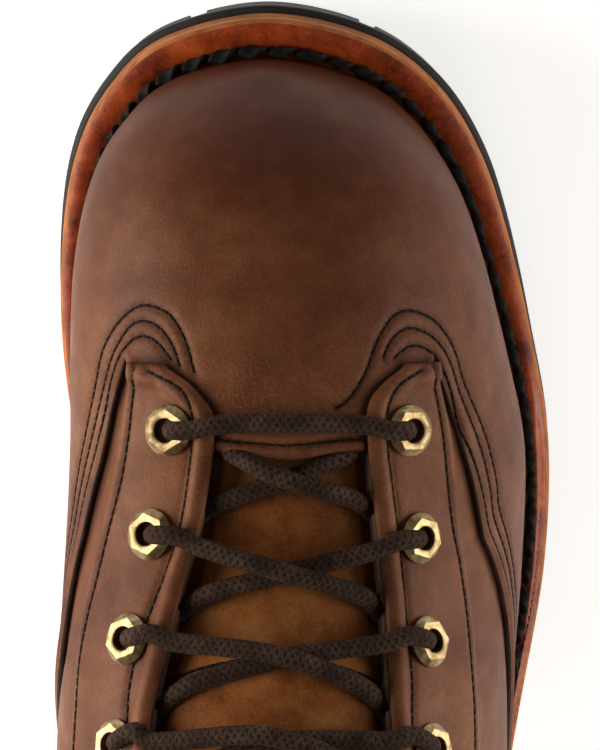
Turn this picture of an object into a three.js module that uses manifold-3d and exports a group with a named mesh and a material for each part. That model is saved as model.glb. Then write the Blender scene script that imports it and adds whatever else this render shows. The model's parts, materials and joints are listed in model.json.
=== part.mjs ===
// Logger boot, right foot: a tall lace-up work boot with a lugged sole and a high heel.
// Millimetres, +Z up, toe towards +Y, outer side of the foot towards +X, floor at z = 0.
import * as THREE from 'three'
import { mergeVertices } from 'three/addons/utils/BufferGeometryUtils.js'
import Module from 'manifold-3d'

const wasm = await Module()
wasm.setup()

// Overall sizes
const soleLength = 306          // outsole, heel to toe
const ballWidth = 114           // sole across the ball of the foot
const shaftWidth = 90           // outside of the shaft, side to side
const shaftHeight = 252         // collar above the floor
const instepHeight = 100        // upper above the lasting plane at the instep
const heelHeight = 43           // heel block
const toeSpring = 12            // lift of the sole's layers at the toe

// Sole layers
const weltThickness = 3.5
const midsoleThickness = 4.5
const outsoleForepart = 12.4    // base and lugs
const outsoleSeat = 5           // thin part over the heel block
const lugDepth = 5
const lugPitch = 25             // along the edge
const lugGroove = 4
const rimWidth = 17             // edge lugs, measured inwards
const crossLug = 7              // arms of the lugs in the sunk middle
const weltReach = 9.5           // welt beyond the upper at the toe
const weltBevel = 1.2
const heelTaper = 5             // the block is smaller at the floor
const heelCap = 13              // lugged bottom lift
const heelLug = 6               // arms of the heel's lug cross
const gap = 0.3                 // between neighbouring pieces
const flatness = 0.12           // corners that stand less than this off their face are dropped
const seatGap = 1.2             // between the insole's edge and the upper

// Upper, facings, tongue and insole
const leather = 2               // wall of the quarters and shaft
const vampLap = 1               // the vamp stands this far over the quarters
const facingThickness = 1.5
const facingGap = 0.5          // facing over the quarter, which curves both ways
const tongueThickness = 3
const tongueGap = 1.1           // between quarter and tongue
const tongueRise = 14           // tongue above the collar
const insoleThickness = 6.5

// Eyelets and lace
const eyeletRows = 11
const eyeletFlange = 10.6
const eyeletHole = 5
const eyeletBarrel = 6.4
const eyeletHeight = 1.6        // over the facing
const eyeletSeat = 0.35         // the flat foot over the highest spot of the facing under it
const eyeletFlat = 8.2          // across the corners of the raised six-sided top
const laceDiameter = 4

// Cutters are made longer than what they cut
const cutterHeight = 120        // right through the sole
const cutterSpare = 10          // past a face

// Height of the lasting plane (top of the welt) over the floor, from heel to toe
const foreStack = weltThickness + midsoleThickness + outsoleForepart + 2 * gap
const heelStack = heelHeight + outsoleSeat + midsoleThickness + weltThickness + 3 * gap
const springStart = 0.265 * soleLength
const springLength = 0.255 * soleLength
const archFront = 0.118 * soleLength
const archLength = 0.343 * soleLength

function smooth(t) {
  const u = Math.min(1, Math.max(0, t))
  return u * u * (3 - 2 * u)
}

function lastingPlane(y) {
  const spring = y > springStart ? toeSpring * ((y - springStart) / springLength) ** 2 : 0
  return foreStack + spring + (heelStack - foreStack) * smooth((archFront - y) / archLength)
}

// The last: one rib a row, from the tongue's top down the shaft and along the foot to the toe.
// footX and ridgeX are shares of ballWidth, Y columns of soleLength. backZ is a share of the height from
// heel seat to collar. ridgeZ is, on the shaft, a share of the height from instep to collar, and on the
// foot a share of instepHeight over the lasting plane at the ball. Widths are shares of ballWidth, belly
// is the share of the rib's height where it is widest, and crown rounds its upper part.
const lastColumns = ['name', 'footOutX', 'footInX', 'footOutY', 'footInY', 'backZ', 'ridgeX', 'ridgeY', 'ridgeZ',
  'widthOut', 'widthIn', 'bellyOut', 'bellyIn', 'crownOut', 'crownIn']
const lastRows = [
  ['tongue', -0.046, -0.046, -0.428, -0.428, 1.11, -0.072, -0.067, 1.17, 0.395, 0.395, 0.50, 0.50, 2.20, 2.20],
  ['collar', -0.046, -0.046, -0.428, -0.428, 0.985, -0.072, -0.060, 1.00, 0.395, 0.395, 0.50, 0.50, 2.20, 2.20],
  ['calf', -0.046, -0.046, -0.422, -0.422, 0.805, -0.072, -0.049, 0.754, 0.390, 0.390, 0.50, 0.50, 2.20, 2.20],
  ['middle', -0.046, -0.046, -0.418, -0.418, 0.620, -0.072, -0.036, 0.518, 0.386, 0.386, 0.50, 0.50, 2.20, 2.20],
  ['low', -0.042, -0.042, -0.423, -0.423, 0.451, -0.072, -0.021, 0.325, 0.390, 0.390, 0.50, 0.50, 2.15, 2.15],
  ['ankle', -0.037, -0.037, -0.448, -0.448, 0.287, -0.072, -0.007, 0.184, 0.404, 0.408, 0.47, 0.47, 2.10, 2.10],
  ['counter', -0.033, -0.033, -0.477, -0.477, 0.138, -0.071, 0.008, 0.079, 0.408, 0.421, 0.45, 0.46, 2.05, 2.05],
  ['heel', -0.033, -0.033, -0.487, -0.487, 0, -0.068, 0.023, 1.17, 0.404, 0.430, 0.44, 0.46, 2.00, 2.00],
  ['seat', 0.164, -0.222, -0.464, -0.464, 0, -0.066, 0.041, 1.10, 0.404, 0.439, 0.43, 0.45, 2.00, 2.00],
  ['breast', 0.265, -0.322, -0.389, -0.389, 0, -0.064, 0.060, 1.035, 0.402, 0.447, 0.42, 0.44, 1.95, 1.95],
  ['shank', 0.295, -0.336, -0.288, -0.288, 0, -0.060, 0.085, 0.965, 0.417, 0.466, 0.40, 0.43, 1.95, 1.95],
  ['arch', 0.326, -0.318, -0.170, -0.170, 0, -0.055, 0.118, 0.890, 0.412, 0.476, 0.36, 0.42, 1.95, 1.95],
  ['waist', 0.385, -0.322, -0.049, -0.049, 0, -0.049, 0.155, 0.815, 0.395, 0.478, 0.32, 0.42, 1.95, 2.00],
  ['instep', 0.438, -0.368, 0.065, 0.065, 0, -0.043, 0.199, 0.750, 0.411, 0.472, 0.27, 0.40, 1.95, 2.00],
  ['ball', 0.437, -0.414, 0.163, 0.163, 0, -0.039, 0.248, 0.695, 0.429, 0.453, 0.24, 0.36, 2.00, 2.10],
  ['joint', 0.390, -0.436, 0.248, 0.248, 0, -0.041, 0.297, 0.645, 0.412, 0.432, 0.22, 0.32, 2.05, 2.15],
  ['vamp', 0.333, -0.428, 0.324, 0.324, 0, -0.048, 0.342, 0.600, 0.384, 0.403, 0.22, 0.30, 2.10, 2.20],
  ['box', 0.276, -0.393, 0.379, 0.386, 0, -0.057, 0.382, 0.550, 0.342, 0.359, 0.24, 0.30, 2.20, 2.20],
  ['cap', 0.197, -0.331, 0.423, 0.425, 0, -0.067, 0.418, 0.475, 0.270, 0.293, 0.28, 0.32, 2.20, 2.20],
  ['tip', 0.087, -0.246, 0.453, 0.453, 0, -0.079, 0.446, 0.360, 0.171, 0.190, 0.32, 0.32, 2.20, 2.20],
  ['toe', -0.081, -0.081, 0.467, 0.467, 0, -0.081, 0.467, 0.220, 0.000, 0.000, 0.35, 0.35, 2.20, 2.20],
]

function table(columns, rows) {
  return rows.map(row => Object.fromEntries(columns.map((name, i) => [name, row[i]])))
}

const last = table(lastColumns, lastRows)
const stationOf = name => last.findIndex(row => row.name === name)
const collar = stationOf('collar')
const heel = stationOf('heel')
const toe = stationOf('toe')

// The rows in millimetres
const instepTop = foreStack + last[heel].ridgeZ * instepHeight
const sized = last.map((row, i) => {
  const shaft = i < heel
  const wide = shaft ? shaftWidth * (ballWidth * 0.395 / 45) / ballWidth : 1
  const footZ = y => (i <= heel ? heelStack + row.backZ * (shaftHeight - heelStack) : lastingPlane(y))
  const footOutY = row.footOutY * soleLength
  const footInY = row.footInY * soleLength
  return {
    footOutX: row.footOutX * ballWidth,
    footInX: row.footInX * ballWidth,
    footOutY,
    footInY,
    footOutZ: footZ(footOutY),
    footInZ: footZ(footInY),
    ridgeX: row.ridgeX * ballWidth,
    ridgeY: row.ridgeY * soleLength,
    ridgeZ: shaft ? instepTop + row.ridgeZ * (shaftHeight - instepTop) : foreStack + row.ridgeZ * instepHeight,
    widthOut: row.widthOut * (shaft ? wide * ballWidth : ballWidth),
    widthIn: row.widthIn * (shaft ? wide * ballWidth : ballWidth),
    bellyOut: row.bellyOut,
    bellyIn: row.bellyIn,
    crownOut: row.crownOut,
    crownIn: row.crownIn,
  }
})

// Rows past the toe and, for the foot columns, past the heel are mirror images, so both ends close round
function mirrored(row, about) {
  return {
    ...row,
    footOutX: 2 * about.footOutX - row.footOutX,
    footInX: 2 * about.footInX - row.footInX,
    ridgeX: 2 * about.ridgeX - row.ridgeX,
    widthOut: -row.widthOut,
    widthIn: -row.widthIn,
  }
}
const pastToe = mirrored(sized[toe - 1], sized[toe])
const footPastHeel = mirrored(sized[heel + 1], sized[heel])

function ribAt(s) {
  const i = Math.min(Math.floor(Math.max(0, s)), toe - 1)
  const t = Math.min(Math.max(0, s), toe) - i
  const b = sized[i]
  const c = sized[i + 1]
  const rib = {}
  for (const key of Object.keys(b)) {
    const before = i === heel && key.startsWith('foot') ? footPastHeel : sized[Math.max(0, i - 1)]
    const after = i + 2 > toe ? pastToe : sized[i + 2]
    const p0 = i === 0 ? 2 * b[key] - c[key] : before[key]
    const p3 = after[key]
    rib[key] = 0.5 * (2 * b[key] + (c[key] - p0) * t
      + (2 * p0 - 5 * b[key] + 4 * c[key] - p3) * t * t
      + (3 * b[key] - p0 - 3 * c[key] + p3) * t * t * t)
  }
  return rib
}

// A point of the boot's outside: s runs over the rows, a from the foot of the rib (0) to the ridge (1),
// side is 1 for the outer side of the foot and -1 for the inner side
function outside(s, share, side) {
  const a = Math.max(0, share)
  const rib = ribAt(s)
  const which = side > 0 ? 'Out' : 'In'
  const middle = 0.5 * (rib.footOutX + rib.footInX)
  const foot = Math.abs(rib['foot' + which + 'X'] - middle)
  const width = Math.max(rib['width' + which], foot + 0.01)
  const belly = rib['belly' + which]
  const crown = 2 / rib['crown' + which]
  const start = Math.acos(Math.min(1, foot / width))
  const split = Math.min(0.6, Math.max(0.15, 0.9 * belly))
  let height
  let out
  if (a < split) {
    const angle = (1 - a / split) * start
    height = belly * (1 - Math.sin(angle) / Math.max(Math.sin(start), 1e-6))
    out = width * Math.cos(angle)
  } else {
    const angle = Math.min(1, (a - split) / (1 - split)) * Math.PI / 2
    height = belly + (1 - belly) * Math.sin(angle) ** crown
    out = width * Math.max(0, Math.cos(angle)) ** crown
  }
  const footY = rib['foot' + which + 'Y']
  const footZ = rib['foot' + which + 'Z']
  return new THREE.Vector3(
    middle + (rib.ridgeX - middle) * height + side * out,
    footY + (rib.ridgeY - footY) * height,
    footZ + (rib.ridgeZ - footZ) * height,
  )
}

function oneSideNormal(s, a, side) {
  const step = 0.01
  const s0 = Math.max(0, s - step)
  const s1 = Math.min(toe, s + step)
  const at = Math.min(0.999, Math.max(0.001, a))
  const a0 = Math.max(0.001, at - step)
  const a1 = Math.min(0.999, at + step)
  const along = outside(s1, at, side).sub(outside(s0, at, side))
  const around = outside(s, a1, side).sub(outside(s, a0, side))
  return along.cross(around).multiplyScalar(side).normalize()
}

// Seams shared by both sides: the ridge, the back of the shaft and the front of the toe
const shared = (s, a) => a > 1 - 1e-6 || (a < 1e-6 && s < heel + 1e-6) || s > toe - 1e-6

function normalAt(s, a, side) {
  const normal = oneSideNormal(s, a, side)
  if (shared(s, a)) normal.add(oneSideNormal(s, a, -side))
  return normal.normalize()
}

// A point of a skin that lies the given distance outside (or, if negative, inside) the form
function skin(s, a, side, offset) {
  const normal = normalAt(s, a, side)
  if (a < 1e-6 && s > heel - 1e-6) {
    normal.z = 0
    normal.normalize()
  }
  return outside(s, a, side).addScaledVector(normal, offset)
}

// A patch of the form: rows of places [s, a, side], welded where both sides share a seam
class Patch {
  constructor() {
    this.places = []
    this.faces = []
    this.known = new Map()
  }

  place(s, a, side) {
    const key = [s.toFixed(5), a.toFixed(5), shared(s, a) ? 0 : side].join(' ')
    if (!this.known.has(key)) {
      this.known.set(key, this.places.length)
      this.places.push([s, a, side])
    }
    return this.known.get(key)
  }

  face(...corners) {
    const unique = corners.filter((corner, i) => corners.indexOf(corner) === i)
    if (unique.length === 3) this.faces.push(unique)
    if (unique.length === 4) {
      this.faces.push([unique[0], unique[1], unique[2]])
      this.faces.push([unique[0], unique[2], unique[3]])
    }
  }

  // Cells between neighbouring rows; columns(s) gives that row's values of a
  grid(stations, columns, side) {
    const lines = stations.map(s => columns(s).map(a => this.place(s, a, side)))
    for (let i = 1; i < lines.length; i++) {
      for (let j = 1; j < lines[i].length; j++) {
        const cell = [lines[i - 1][j - 1], lines[i][j - 1], lines[i][j], lines[i - 1][j]]
        if (side > 0) this.face(...cell)
        else this.face(...cell.reverse())
      }
    }
  }

  // A closed wall between two offsets from the form; adjust may move a corner afterwards
  wall(inner, outer, adjust = point => point) {
    const at = (place, offset, isOuter) => adjust(skin(...place, typeof offset === 'function' ? offset(...place) : offset), place, isOuter)
    const count = this.places.length
    const corners = this.places.map(place => at(place, outer, true)).concat(this.places.map(place => at(place, inner, false)))
    const faces = this.faces.map(face => [...face])
    for (const face of this.faces) faces.push([face[2] + count, face[1] + count, face[0] + count])
    const used = new Set(this.faces.flatMap(face => face.map((corner, i) => corner + ' ' + face[(i + 1) % 3])))
    for (const edge of used) {
      const [from, to] = edge.split(' ').map(Number)
      if (used.has(to + ' ' + from)) continue
      faces.push([to, from, from + count], [to, from + count, to + count])
    }
    return closed(corners, faces)
  }
}

function closed(corners, faces) {
  const geometry = new THREE.BufferGeometry()
  geometry.setAttribute('position', new THREE.Float32BufferAttribute(corners.flatMap(p => [p.x, p.y, p.z]), 3))
  geometry.setIndex(faces.flat())
  return geometry
}

// Booleans
function solid(geometry) {
  const bare = geometry.clone()
  bare.deleteAttribute('normal')
  bare.deleteAttribute('uv')
  const merged = mergeVertices(bare, 1e-4)
  const mesh = new wasm.Mesh({
    numProp: 3,
    vertProperties: new Float32Array(merged.attributes.position.array),
    triVerts: new Uint32Array(merged.index.array),
  })
  return new wasm.Manifold(mesh)
}

// The largest piece, without slivers where two nearly equal faces crossed
function mainBody(manifold) {
  return manifold.decompose().reduce((a, b) => (b.volume() > a.volume() ? b : a))
}

function geometryOf(manifold) {
  const mesh = manifold.simplify(flatness).getMesh()
  const geometry = new THREE.BufferGeometry()
  geometry.setAttribute('position', new THREE.BufferAttribute(new Float32Array(mesh.vertProperties), 3))
  geometry.setIndex(Array.from(mesh.triVerts))
  return geometry
}

function span(from, to, count) {
  return Array.from({ length: count + 1 }, (_, i) => from + (to - from) * i / count)
}

function between(rows, key, s) {
  let i = 0
  while (i < rows.length - 2 && rows[i + 1].station < s) i++
  const t = Math.min(1, Math.max(0, (s - rows[i].station) / (rows[i + 1].station - rows[i].station)))
  return rows[i][key] + (rows[i + 1][key] - rows[i][key]) * t
}

// Edges over the form, as shares a of the rib at each row number: the facing's inner edge at the throat,
// its outer edge, the eyelets' line and the edge of the vamp, which laps over the quarters
const vampThroat = stationOf('waist') + 1.86
const facingFront = stationOf('instep') + 1.95
const edgeColumns = ['station', 'throatOut', 'throatIn', 'facingOut', 'facingIn', 'eyeletOut', 'eyeletIn']
const edges = table(edgeColumns, [
  [collar, 0.815, 0.815, 0.620, 0.620, 0.715, 0.715],
  [collar + 3, 0.805, 0.805, 0.605, 0.605, 0.705, 0.705],
  [collar + 6, 0.800, 0.800, 0.580, 0.585, 0.690, 0.700],
  [collar + 8, 0.785, 0.793, 0.560, 0.590, 0.680, 0.710],
  [collar + 9.5, 0.792, 0.801, 0.583, 0.620, 0.712, 0.738],
  [collar + 11, 0.785, 0.845, 0.565, 0.635, 0.692, 0.756],
  [collar + 12, 0.808, 0.870, 0.614, 0.671, 0.715, 0.783],
  [collar + 12.86, 0.835, 0.881, 0.644, 0.692, 0.738, 0.793],
  [collar + 13.36, 0.837, 0.880, 0.653, 0.696, 0.748, 0.795],
  [collar + 13.56, 0.824, 0.851, 0.654, 0.698, 0.746, 0.794],
  [collar + 13.72, 0.795, 0.831, 0.655, 0.699, 0.745, 0.793],
  [collar + 13.86, 0.758, 0.795, 0.656, 0.700, 0.744, 0.792],
  [collar + 13.95, 0.721, 0.757, 0.661, 0.703, 0.744, 0.792],
])
const vampEdges = table(['station', 'out', 'in'], [
  [collar + 8.2, 0.001, 0.001],
  [collar + 10, 0.070, 0.200],
  [collar + 11, 0.270, 0.495],
  [collar + 12, 0.510, 0.578],
  [collar + 12.86, 0.584, 0.622],
  [collar + 13.36, 0.614, 0.636],
  [collar + 13.95, 0.643, 0.662],
])
const throatAt = (s, side) => between(edges, side > 0 ? 'throatOut' : 'throatIn', s)
const facingAt = (s, side) => between(edges, side > 0 ? 'facingOut' : 'facingIn', s)
const eyeletAt = (s, side) => between(edges, side > 0 ? 'eyeletOut' : 'eyeletIn', s)
const vampAt = (s, side) => between(vampEdges, side > 0 ? 'out' : 'in', s)

// Levels of the skins over the form, whose own surface is the outside of the vamp
const quarterOutside = -vampLap
const quarterInside = quarterOutside - leather
const facingInside = quarterOutside + facingGap
const facingOutside = facingInside + facingThickness
const tongueOutside = quarterInside - tongueGap
const tongueInside = tongueOutside - tongueThickness

// Row numbers of the grids
const shaftRows = span(collar, heel, 8)
const throatRows = [0.3, 0.7, 1.2, 1.85, 2.6, 3.35, 4.15, 4.95, 5.65, 6.3].map(step => heel + step).concat(vampThroat)
const frontRows = [5.55, 5.05, 4.3, 3.55, 2.9, 2.3, 1.75, 1.25, 0.8, 0.42, 0.17, 0].map(step => toe - step)

// Each rib starts with a short skirt below its foot, and the sole's own form cuts it off level with the welt
const skirt = -0.01
function lowered(point, [s, a]) {
  if (a < 0) point.z -= weltThickness
  return point
}

// Columns of the grids: from the foot to the facing's outer edge, in cells across the facing, and on to the ridge
const cornerStart = facingFront - 0.59
const footSteps = [0, 0.09, 0.24, 0.46, 0.72, 1]
const facingCells = 2
function ribColumns(s, side, toRidge) {
  // Ahead of the facings both sides come to the same columns, which they share at the front of the toe
  const even = smooth((s - cornerStart) / (toe - 0.5 - cornerStart))
  const blended = edgeAt => {
    const own = edgeAt(Math.min(s, cornerStart), side)
    const other = edgeAt(Math.min(s, cornerStart), -side)
    return own + even * 0.5 * (other - own)
  }
  const out = blended(facingAt)
  const inner = blended(throatAt)
  const columns = [...footSteps.map(t => t * out), ...span(out, inner, facingCells).slice(1)]
  return toRidge ? [...columns, 0.5 * (1 + inner), 1] : columns
}

// Upper: quarters and shaft as one wall, with the vamp lapped over it
function upperWall() {
  const patch = new Patch()
  for (const side of [1, -1]) {
    patch.grid([...shaftRows, ...throatRows], s => ribColumns(s, side, false), side)
    patch.grid([vampThroat, ...frontRows], s => ribColumns(s, side, true), side)
    patch.grid([heel, ...throatRows, ...frontRows], () => [skirt, 0], side)
  }
  return patch.wall(quarterInside, quarterOutside, lowered)
}

function vampWall() {
  const patch = new Patch()
  for (const side of [1, -1]) {
    const first = vampEdges[0].station
    const sideRows = [first, ...throatRows.filter(s => s > first + 0.2)]
    const upToEdge = s => {
      const edge = vampAt(s, side)
      return ribColumns(s, side, false).map(a => (a > edge - 0.02 ? edge : a))
    }
    // The first row of the front goes through the corner where the side's edge ends
    const acrossFront = s => {
      const columns = ribColumns(s, side, true)
      const edge = vampAt(s, side)
      if (s < vampThroat + 1e-6) columns[columns.findIndex(a => a > edge - 0.02)] = edge
      return columns
    }
    patch.grid(sideRows, upToEdge, side)
    patch.grid([vampThroat, ...frontRows], acrossFront, side)
    patch.grid([...sideRows, ...frontRows], () => [skirt, 0], side)
  }
  return patch.wall(quarterOutside - 0.5 * leather, 0, lowered)
}

// The notch in the vamp where a facing lies: a larger form that is cut away
function facingNotch(side) {
  const patch = new Patch()
  const rows = [...span(vampThroat - 0.3, facingFront - 0.6, 3), ...facingTip.map(t => facingFront - t)]
  const out = s => facingAt(s, side) - 0.012
  const inner = s => Math.min(throatAt(s, side) + 0.008, 0.99)
  patch.grid(rows, s => span(0, 1, facingCells).map(t => out(s) + t * (inner(s) - out(s))), side)
  return patch.wall(quarterOutside, 6)
}
const facingTip = [0.39, 0.23, 0.09, 0]

function facing(side) {
  const patch = new Patch()
  const rows = [...shaftRows, ...throatRows, ...span(vampThroat, facingFront - 0.6, 3).slice(1), ...facingTip.map(t => facingFront - t)]
  patch.grid(rows, s => span(0, 1, facingCells).map(t => facingAt(s, side) + t * (throatAt(s, side) - facingAt(s, side))), side)
  return patch.wall(facingInside, facingOutside)
}

// Tongue: under both facings and the vamp's throat, up past the collar
function tongue() {
  const patch = new Patch()
  const top = collar - tongueRise / (shaftHeight * 0.08)
  const front = vampThroat + 0.7
  const rows = [...span(Math.max(0.05, top), collar, 1).slice(0, 1), ...shaftRows, ...throatRows, front]
  for (const side of [1, -1]) {
    const out = s => facingAt(s, side) + 0.3 * (throatAt(s, side) - facingAt(s, side))
    patch.grid(rows, s => span(0, 1, 2).map(t => out(s) + t * (1 - out(s))), side)
  }
  return patch.wall(tongueInside, tongueOutside)
}

// Sole outlines: the foot of the upper, moved outwards or inwards, as a width at each y
const reachColumns = ['station', 'out', 'in']
const reaches = table(reachColumns, [
  [heel, 0.37, 0.37],
  [heel + 2, 0.37, 0.37],
  [heel + 4, 0.42, 0.40],
  [heel + 5, 0.50, 0.50],
  [heel + 6, 0.60, 0.65],
  [heel + 7, 0.66, 0.72],
  [heel + 8, 0.72, 0.74],
  [heel + 9, 0.80, 0.76],
  [heel + 10, 0.90, 0.85],
  [heel + 11, 0.97, 0.95],
  [toe, 1.00, 1.00],
])

function footEdge(side, share, extra) {
  const points = []
  for (const s of span(heel, toe, 260)) {
    const at = q => outside(q, 0, side)
    const here = at(s)
    const ahead = at(Math.min(toe, s + 0.01)).sub(at(Math.max(heel, s - 0.01)))
    const normal = s > toe - 1e-6 ? [0, 1] : s < heel + 1e-6 ? [0, -1] : [side * ahead.y, -side * ahead.x]
    const size = Math.hypot(...normal)
    const reach = share * weltReach * between(reaches, side > 0 ? 'out' : 'in', s) + extra
    points.push([here.x + normal[0] / size * reach, here.y + normal[1] / size * reach])
  }
  return points
}

function widthAt(points, y) {
  let i = 0
  while (i < points.length - 2 && points[i + 1][1] < y) i++
  const [x0, y0] = points[i]
  const [x1, y1] = points[i + 1]
  const t = Math.min(1, Math.max(0, (y - y0) / Math.max(1e-9, y1 - y0)))
  return x0 + (x1 - x0) * t
}

const soleStations = span(-0.46 * soleLength, 0.46 * soleLength, 25)
const endSteps = [0.03, 0.5, 1.6, 3.6, 6.4]

function outline(share, extra, from = -Infinity, to = Infinity) {
  const out = footEdge(1, share, extra)
  const inner = footEdge(-1, share, extra)
  const back = Math.max(from, out[0][1])
  const front = Math.min(to, out[out.length - 1][1])
  const backEnd = from > back - 1e-6 ? [back] : [back, ...endSteps.map(step => back + step)]
  const frontEnd = to < front + 1e-6 ? [front] : [...endSteps.map(step => front - step).reverse(), front]
  const middle = soleStations.filter(y => y > backEnd[backEnd.length - 1] + 1.5 && y < frontEnd[0] - 1.5)
  return [...backEnd, ...middle, ...frontEnd].map(y => ({ y, out: widthAt(out, y), in: widthAt(inner, y) }))
}

// A closed slab: levels are pairs of an inset and a height function, from the bottom up
function slab(rows, levels) {
  const ring = [...rows.map(row => [row.out, row.y]), ...rows.map(row => [row.in, row.y]).reverse()]
  const count = ring.length
  const normals = ring.map((_, i) => {
    const before = ring[(i + count - 1) % count]
    const after = ring[(i + 1) % count]
    const size = Math.hypot(after[0] - before[0], after[1] - before[1])
    return size < 1e-9 ? [0, 0] : [(after[1] - before[1]) / size, -(after[0] - before[0]) / size]
  })
  const corners = []
  const faces = []
  for (const [inset, height] of levels) {
    ring.forEach(([x, y], i) => {
      const px = x - normals[i][0] * inset
      const py = y - normals[i][1] * inset
      corners.push(new THREE.Vector3(px, py, height(py, px)))
    })
  }
  for (let k = 0; k + 1 < levels.length; k++) {
    for (let i = 0; i < count; i++) {
      const next = (i + 1) % count
      faces.push([k * count + i, k * count + next, (k + 1) * count + next], [k * count + i, (k + 1) * count + next, (k + 1) * count + i])
    }
  }
  const half = rows.length
  const highest = (levels.length - 1) * count
  for (let i = 0; i + 1 < half; i++) {
    const a = i
    const b = i + 1
    const c = count - 2 - i
    const d = count - 1 - i
    faces.push([a, c, b], [a, d, c])
    faces.push([highest + a, highest + b, highest + c], [highest + a, highest + c, highest + d])
  }
  const geometry = closed(corners, faces.filter(face => !(corners[face[0]].equals(corners[face[1]]) || corners[face[1]].equals(corners[face[2]]) || corners[face[0]].equals(corners[face[2]]))))
  return geometry
}

const weltTop = y => lastingPlane(y)
const weltBottom = y => lastingPlane(y) - weltThickness
const midsoleTop = y => weltBottom(y) - gap
const midsoleBottom = y => midsoleTop(y) - midsoleThickness
const outsoleTop = y => midsoleBottom(y) - gap
const foreEnd = -0.03 * soleLength
const outsoleThick = y => outsoleSeat + (outsoleForepart - outsoleSeat) * smooth((y - foreEnd + 0.16 * soleLength) / (0.2 * soleLength))
const outsoleBottom = y => outsoleTop(y) - outsoleThick(y)
const insoleInset = quarterInside - seatGap
const insoleEase = 1.5 * seatGap      // its top is smaller still, as the upper leans in over the heel

function welt() {
  const ring = solid(slab(outline(1, 0), [[0, weltBottom], [0, y => weltTop(y) - weltBevel], [weltBevel, weltTop]]))
  return geometryOf(ring.subtract(solid(slab(outline(0, insoleInset + gap), [[0, y => weltBottom(y) - cutterSpare], [0, y => weltTop(y) + cutterSpare]]))))
}

function midsole() {
  return slab(outline(1, 0), [[0, midsoleBottom], [0, midsoleTop]])
}

function insole() {
  return slab(outline(0, insoleInset), [[0, y => midsoleTop(y) + gap], [insoleEase, y => midsoleTop(y) + gap + insoleThickness]])
}

// Tread: grooves across the edge lugs, a sunk middle with cross-shaped lugs
function groove(x, y, turn, length, width) {
  const box = new THREE.BoxGeometry(length, width, cutterHeight)
  box.rotateZ(turn)
  box.translate(x, y, 0)
  return solid(box)
}

function edgeGrooves(rows, from, to) {
  const cutters = []
  for (const side of ['out', 'in']) {
    const sign = side === 'out' ? 1 : -1
    let travelled = 0.5 * lugPitch
    for (let i = 1; i < rows.length; i++) {
      const a = rows[i - 1]
      const b = rows[i]
      travelled += Math.hypot(b[side] - a[side], b.y - a.y)
      if (travelled < lugPitch) continue
      travelled -= lugPitch
      if (b.y < from || b.y > to) continue
      const turn = Math.atan2(b.y - a.y, b[side] - a[side]) - Math.PI / 2
      cutters.push(groove(b[side] - sign * 0.2 * rimWidth * Math.cos(turn), b.y - sign * 0.2 * rimWidth * Math.sin(turn), turn, 1.8 * rimWidth, lugGroove))
    }
  }
  return cutters
}

function outsole() {
  const rows = outline(1, 0.5)
  const body = solid(slab(rows, [[0.9, outsoleBottom], [0.9, y => outsoleTop(y) - 0.75 * outsoleSeat], [0, y => outsoleTop(y) - 0.6 * outsoleSeat], [0, outsoleTop]]))
  const from = -0.01 * soleLength
  const sunk = solid(slab(outline(1, -rimWidth, from + 0.5 * rimWidth), [[0, () => -cutterSpare], [0, () => cutterHeight]]))
  const lugs = []
  for (let y = from + 2 * rimWidth; y < 0.42 * soleLength; y += 1.05 * lugPitch) {
    const middle = 0.5 * (widthAt(footEdge(1, 0, 0), y) + widthAt(footEdge(-1, 0, 0), y))
    lugs.push(groove(middle, y, 0, 2.1 * rimWidth, crossLug), groove(middle, y, 0, crossLug, 0.8 * lugPitch))
  }
  const cuts = wasm.Manifold.union([sunk.subtract(wasm.Manifold.union(lugs)), ...edgeGrooves(rows, from, 0.5 * soleLength)])
  const layer = solid(slab(outline(1, 4), [[0, y => outsoleBottom(y) - 3 * cutterSpare], [0, y => outsoleBottom(y) + lugDepth]]))
  return geometryOf(body.subtract(cuts.intersect(layer)))
}

function heelBlock() {
  const breast = -0.2 * soleLength
  const rows = outline(1, 0.5, -Infinity, breast)
  const top = y => outsoleBottom(y) - gap
  const block = solid(slab(rows, [[heelTaper, () => 0], [0.75 * heelTaper, () => heelCap - 1], [0.75 * heelTaper + 1, () => heelCap], [0.7 * heelTaper, () => heelCap + 1], [0, top]]))
  const sunk = solid(slab(outline(1, -rimWidth - heelTaper, -Infinity, breast - rimWidth), [[0, () => -1], [0, () => lugDepth]]))
  const centre = breast - 1.9 * rimWidth
  const lugs = [groove(-0.045 * ballWidth, centre, 0, 2 * rimWidth, heelLug), groove(-0.045 * ballWidth, centre, 0, heelLug, 2 * rimWidth)]
  const layer = solid(new THREE.BoxGeometry(2 * ballWidth, soleLength, 2 * lugDepth).translate(0, -0.4 * soleLength, 0))
  const grooves = wasm.Manifold.union(edgeGrooves(rows, -soleLength, breast - 4)).intersect(layer)
  return geometryOf(block.subtract(sunk.subtract(wasm.Manifold.union(lugs))).subtract(grooves))
}

// Eyelets: rows at equal steps along the facing's middle line, from the vamp's throat to the collar
const firstEyelet = collar + 13.12
const lastEyelet = collar + 0.47

function eyeletStations(side) {
  const stations = span(firstEyelet, lastEyelet, 400)
  const points = stations.map(s => outside(s, eyeletAt(s, side), side))
  const travelled = [0]
  for (let i = 1; i < points.length; i++) travelled.push(travelled[i - 1] + points[i].distanceTo(points[i - 1]))
  return Array.from({ length: eyeletRows }, (_, k) => {
    const goal = travelled[400] * k / (eyeletRows - 1)
    const i = travelled.findIndex(value => value >= goal - 1e-9)
    return stations[i]
  })
}

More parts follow.
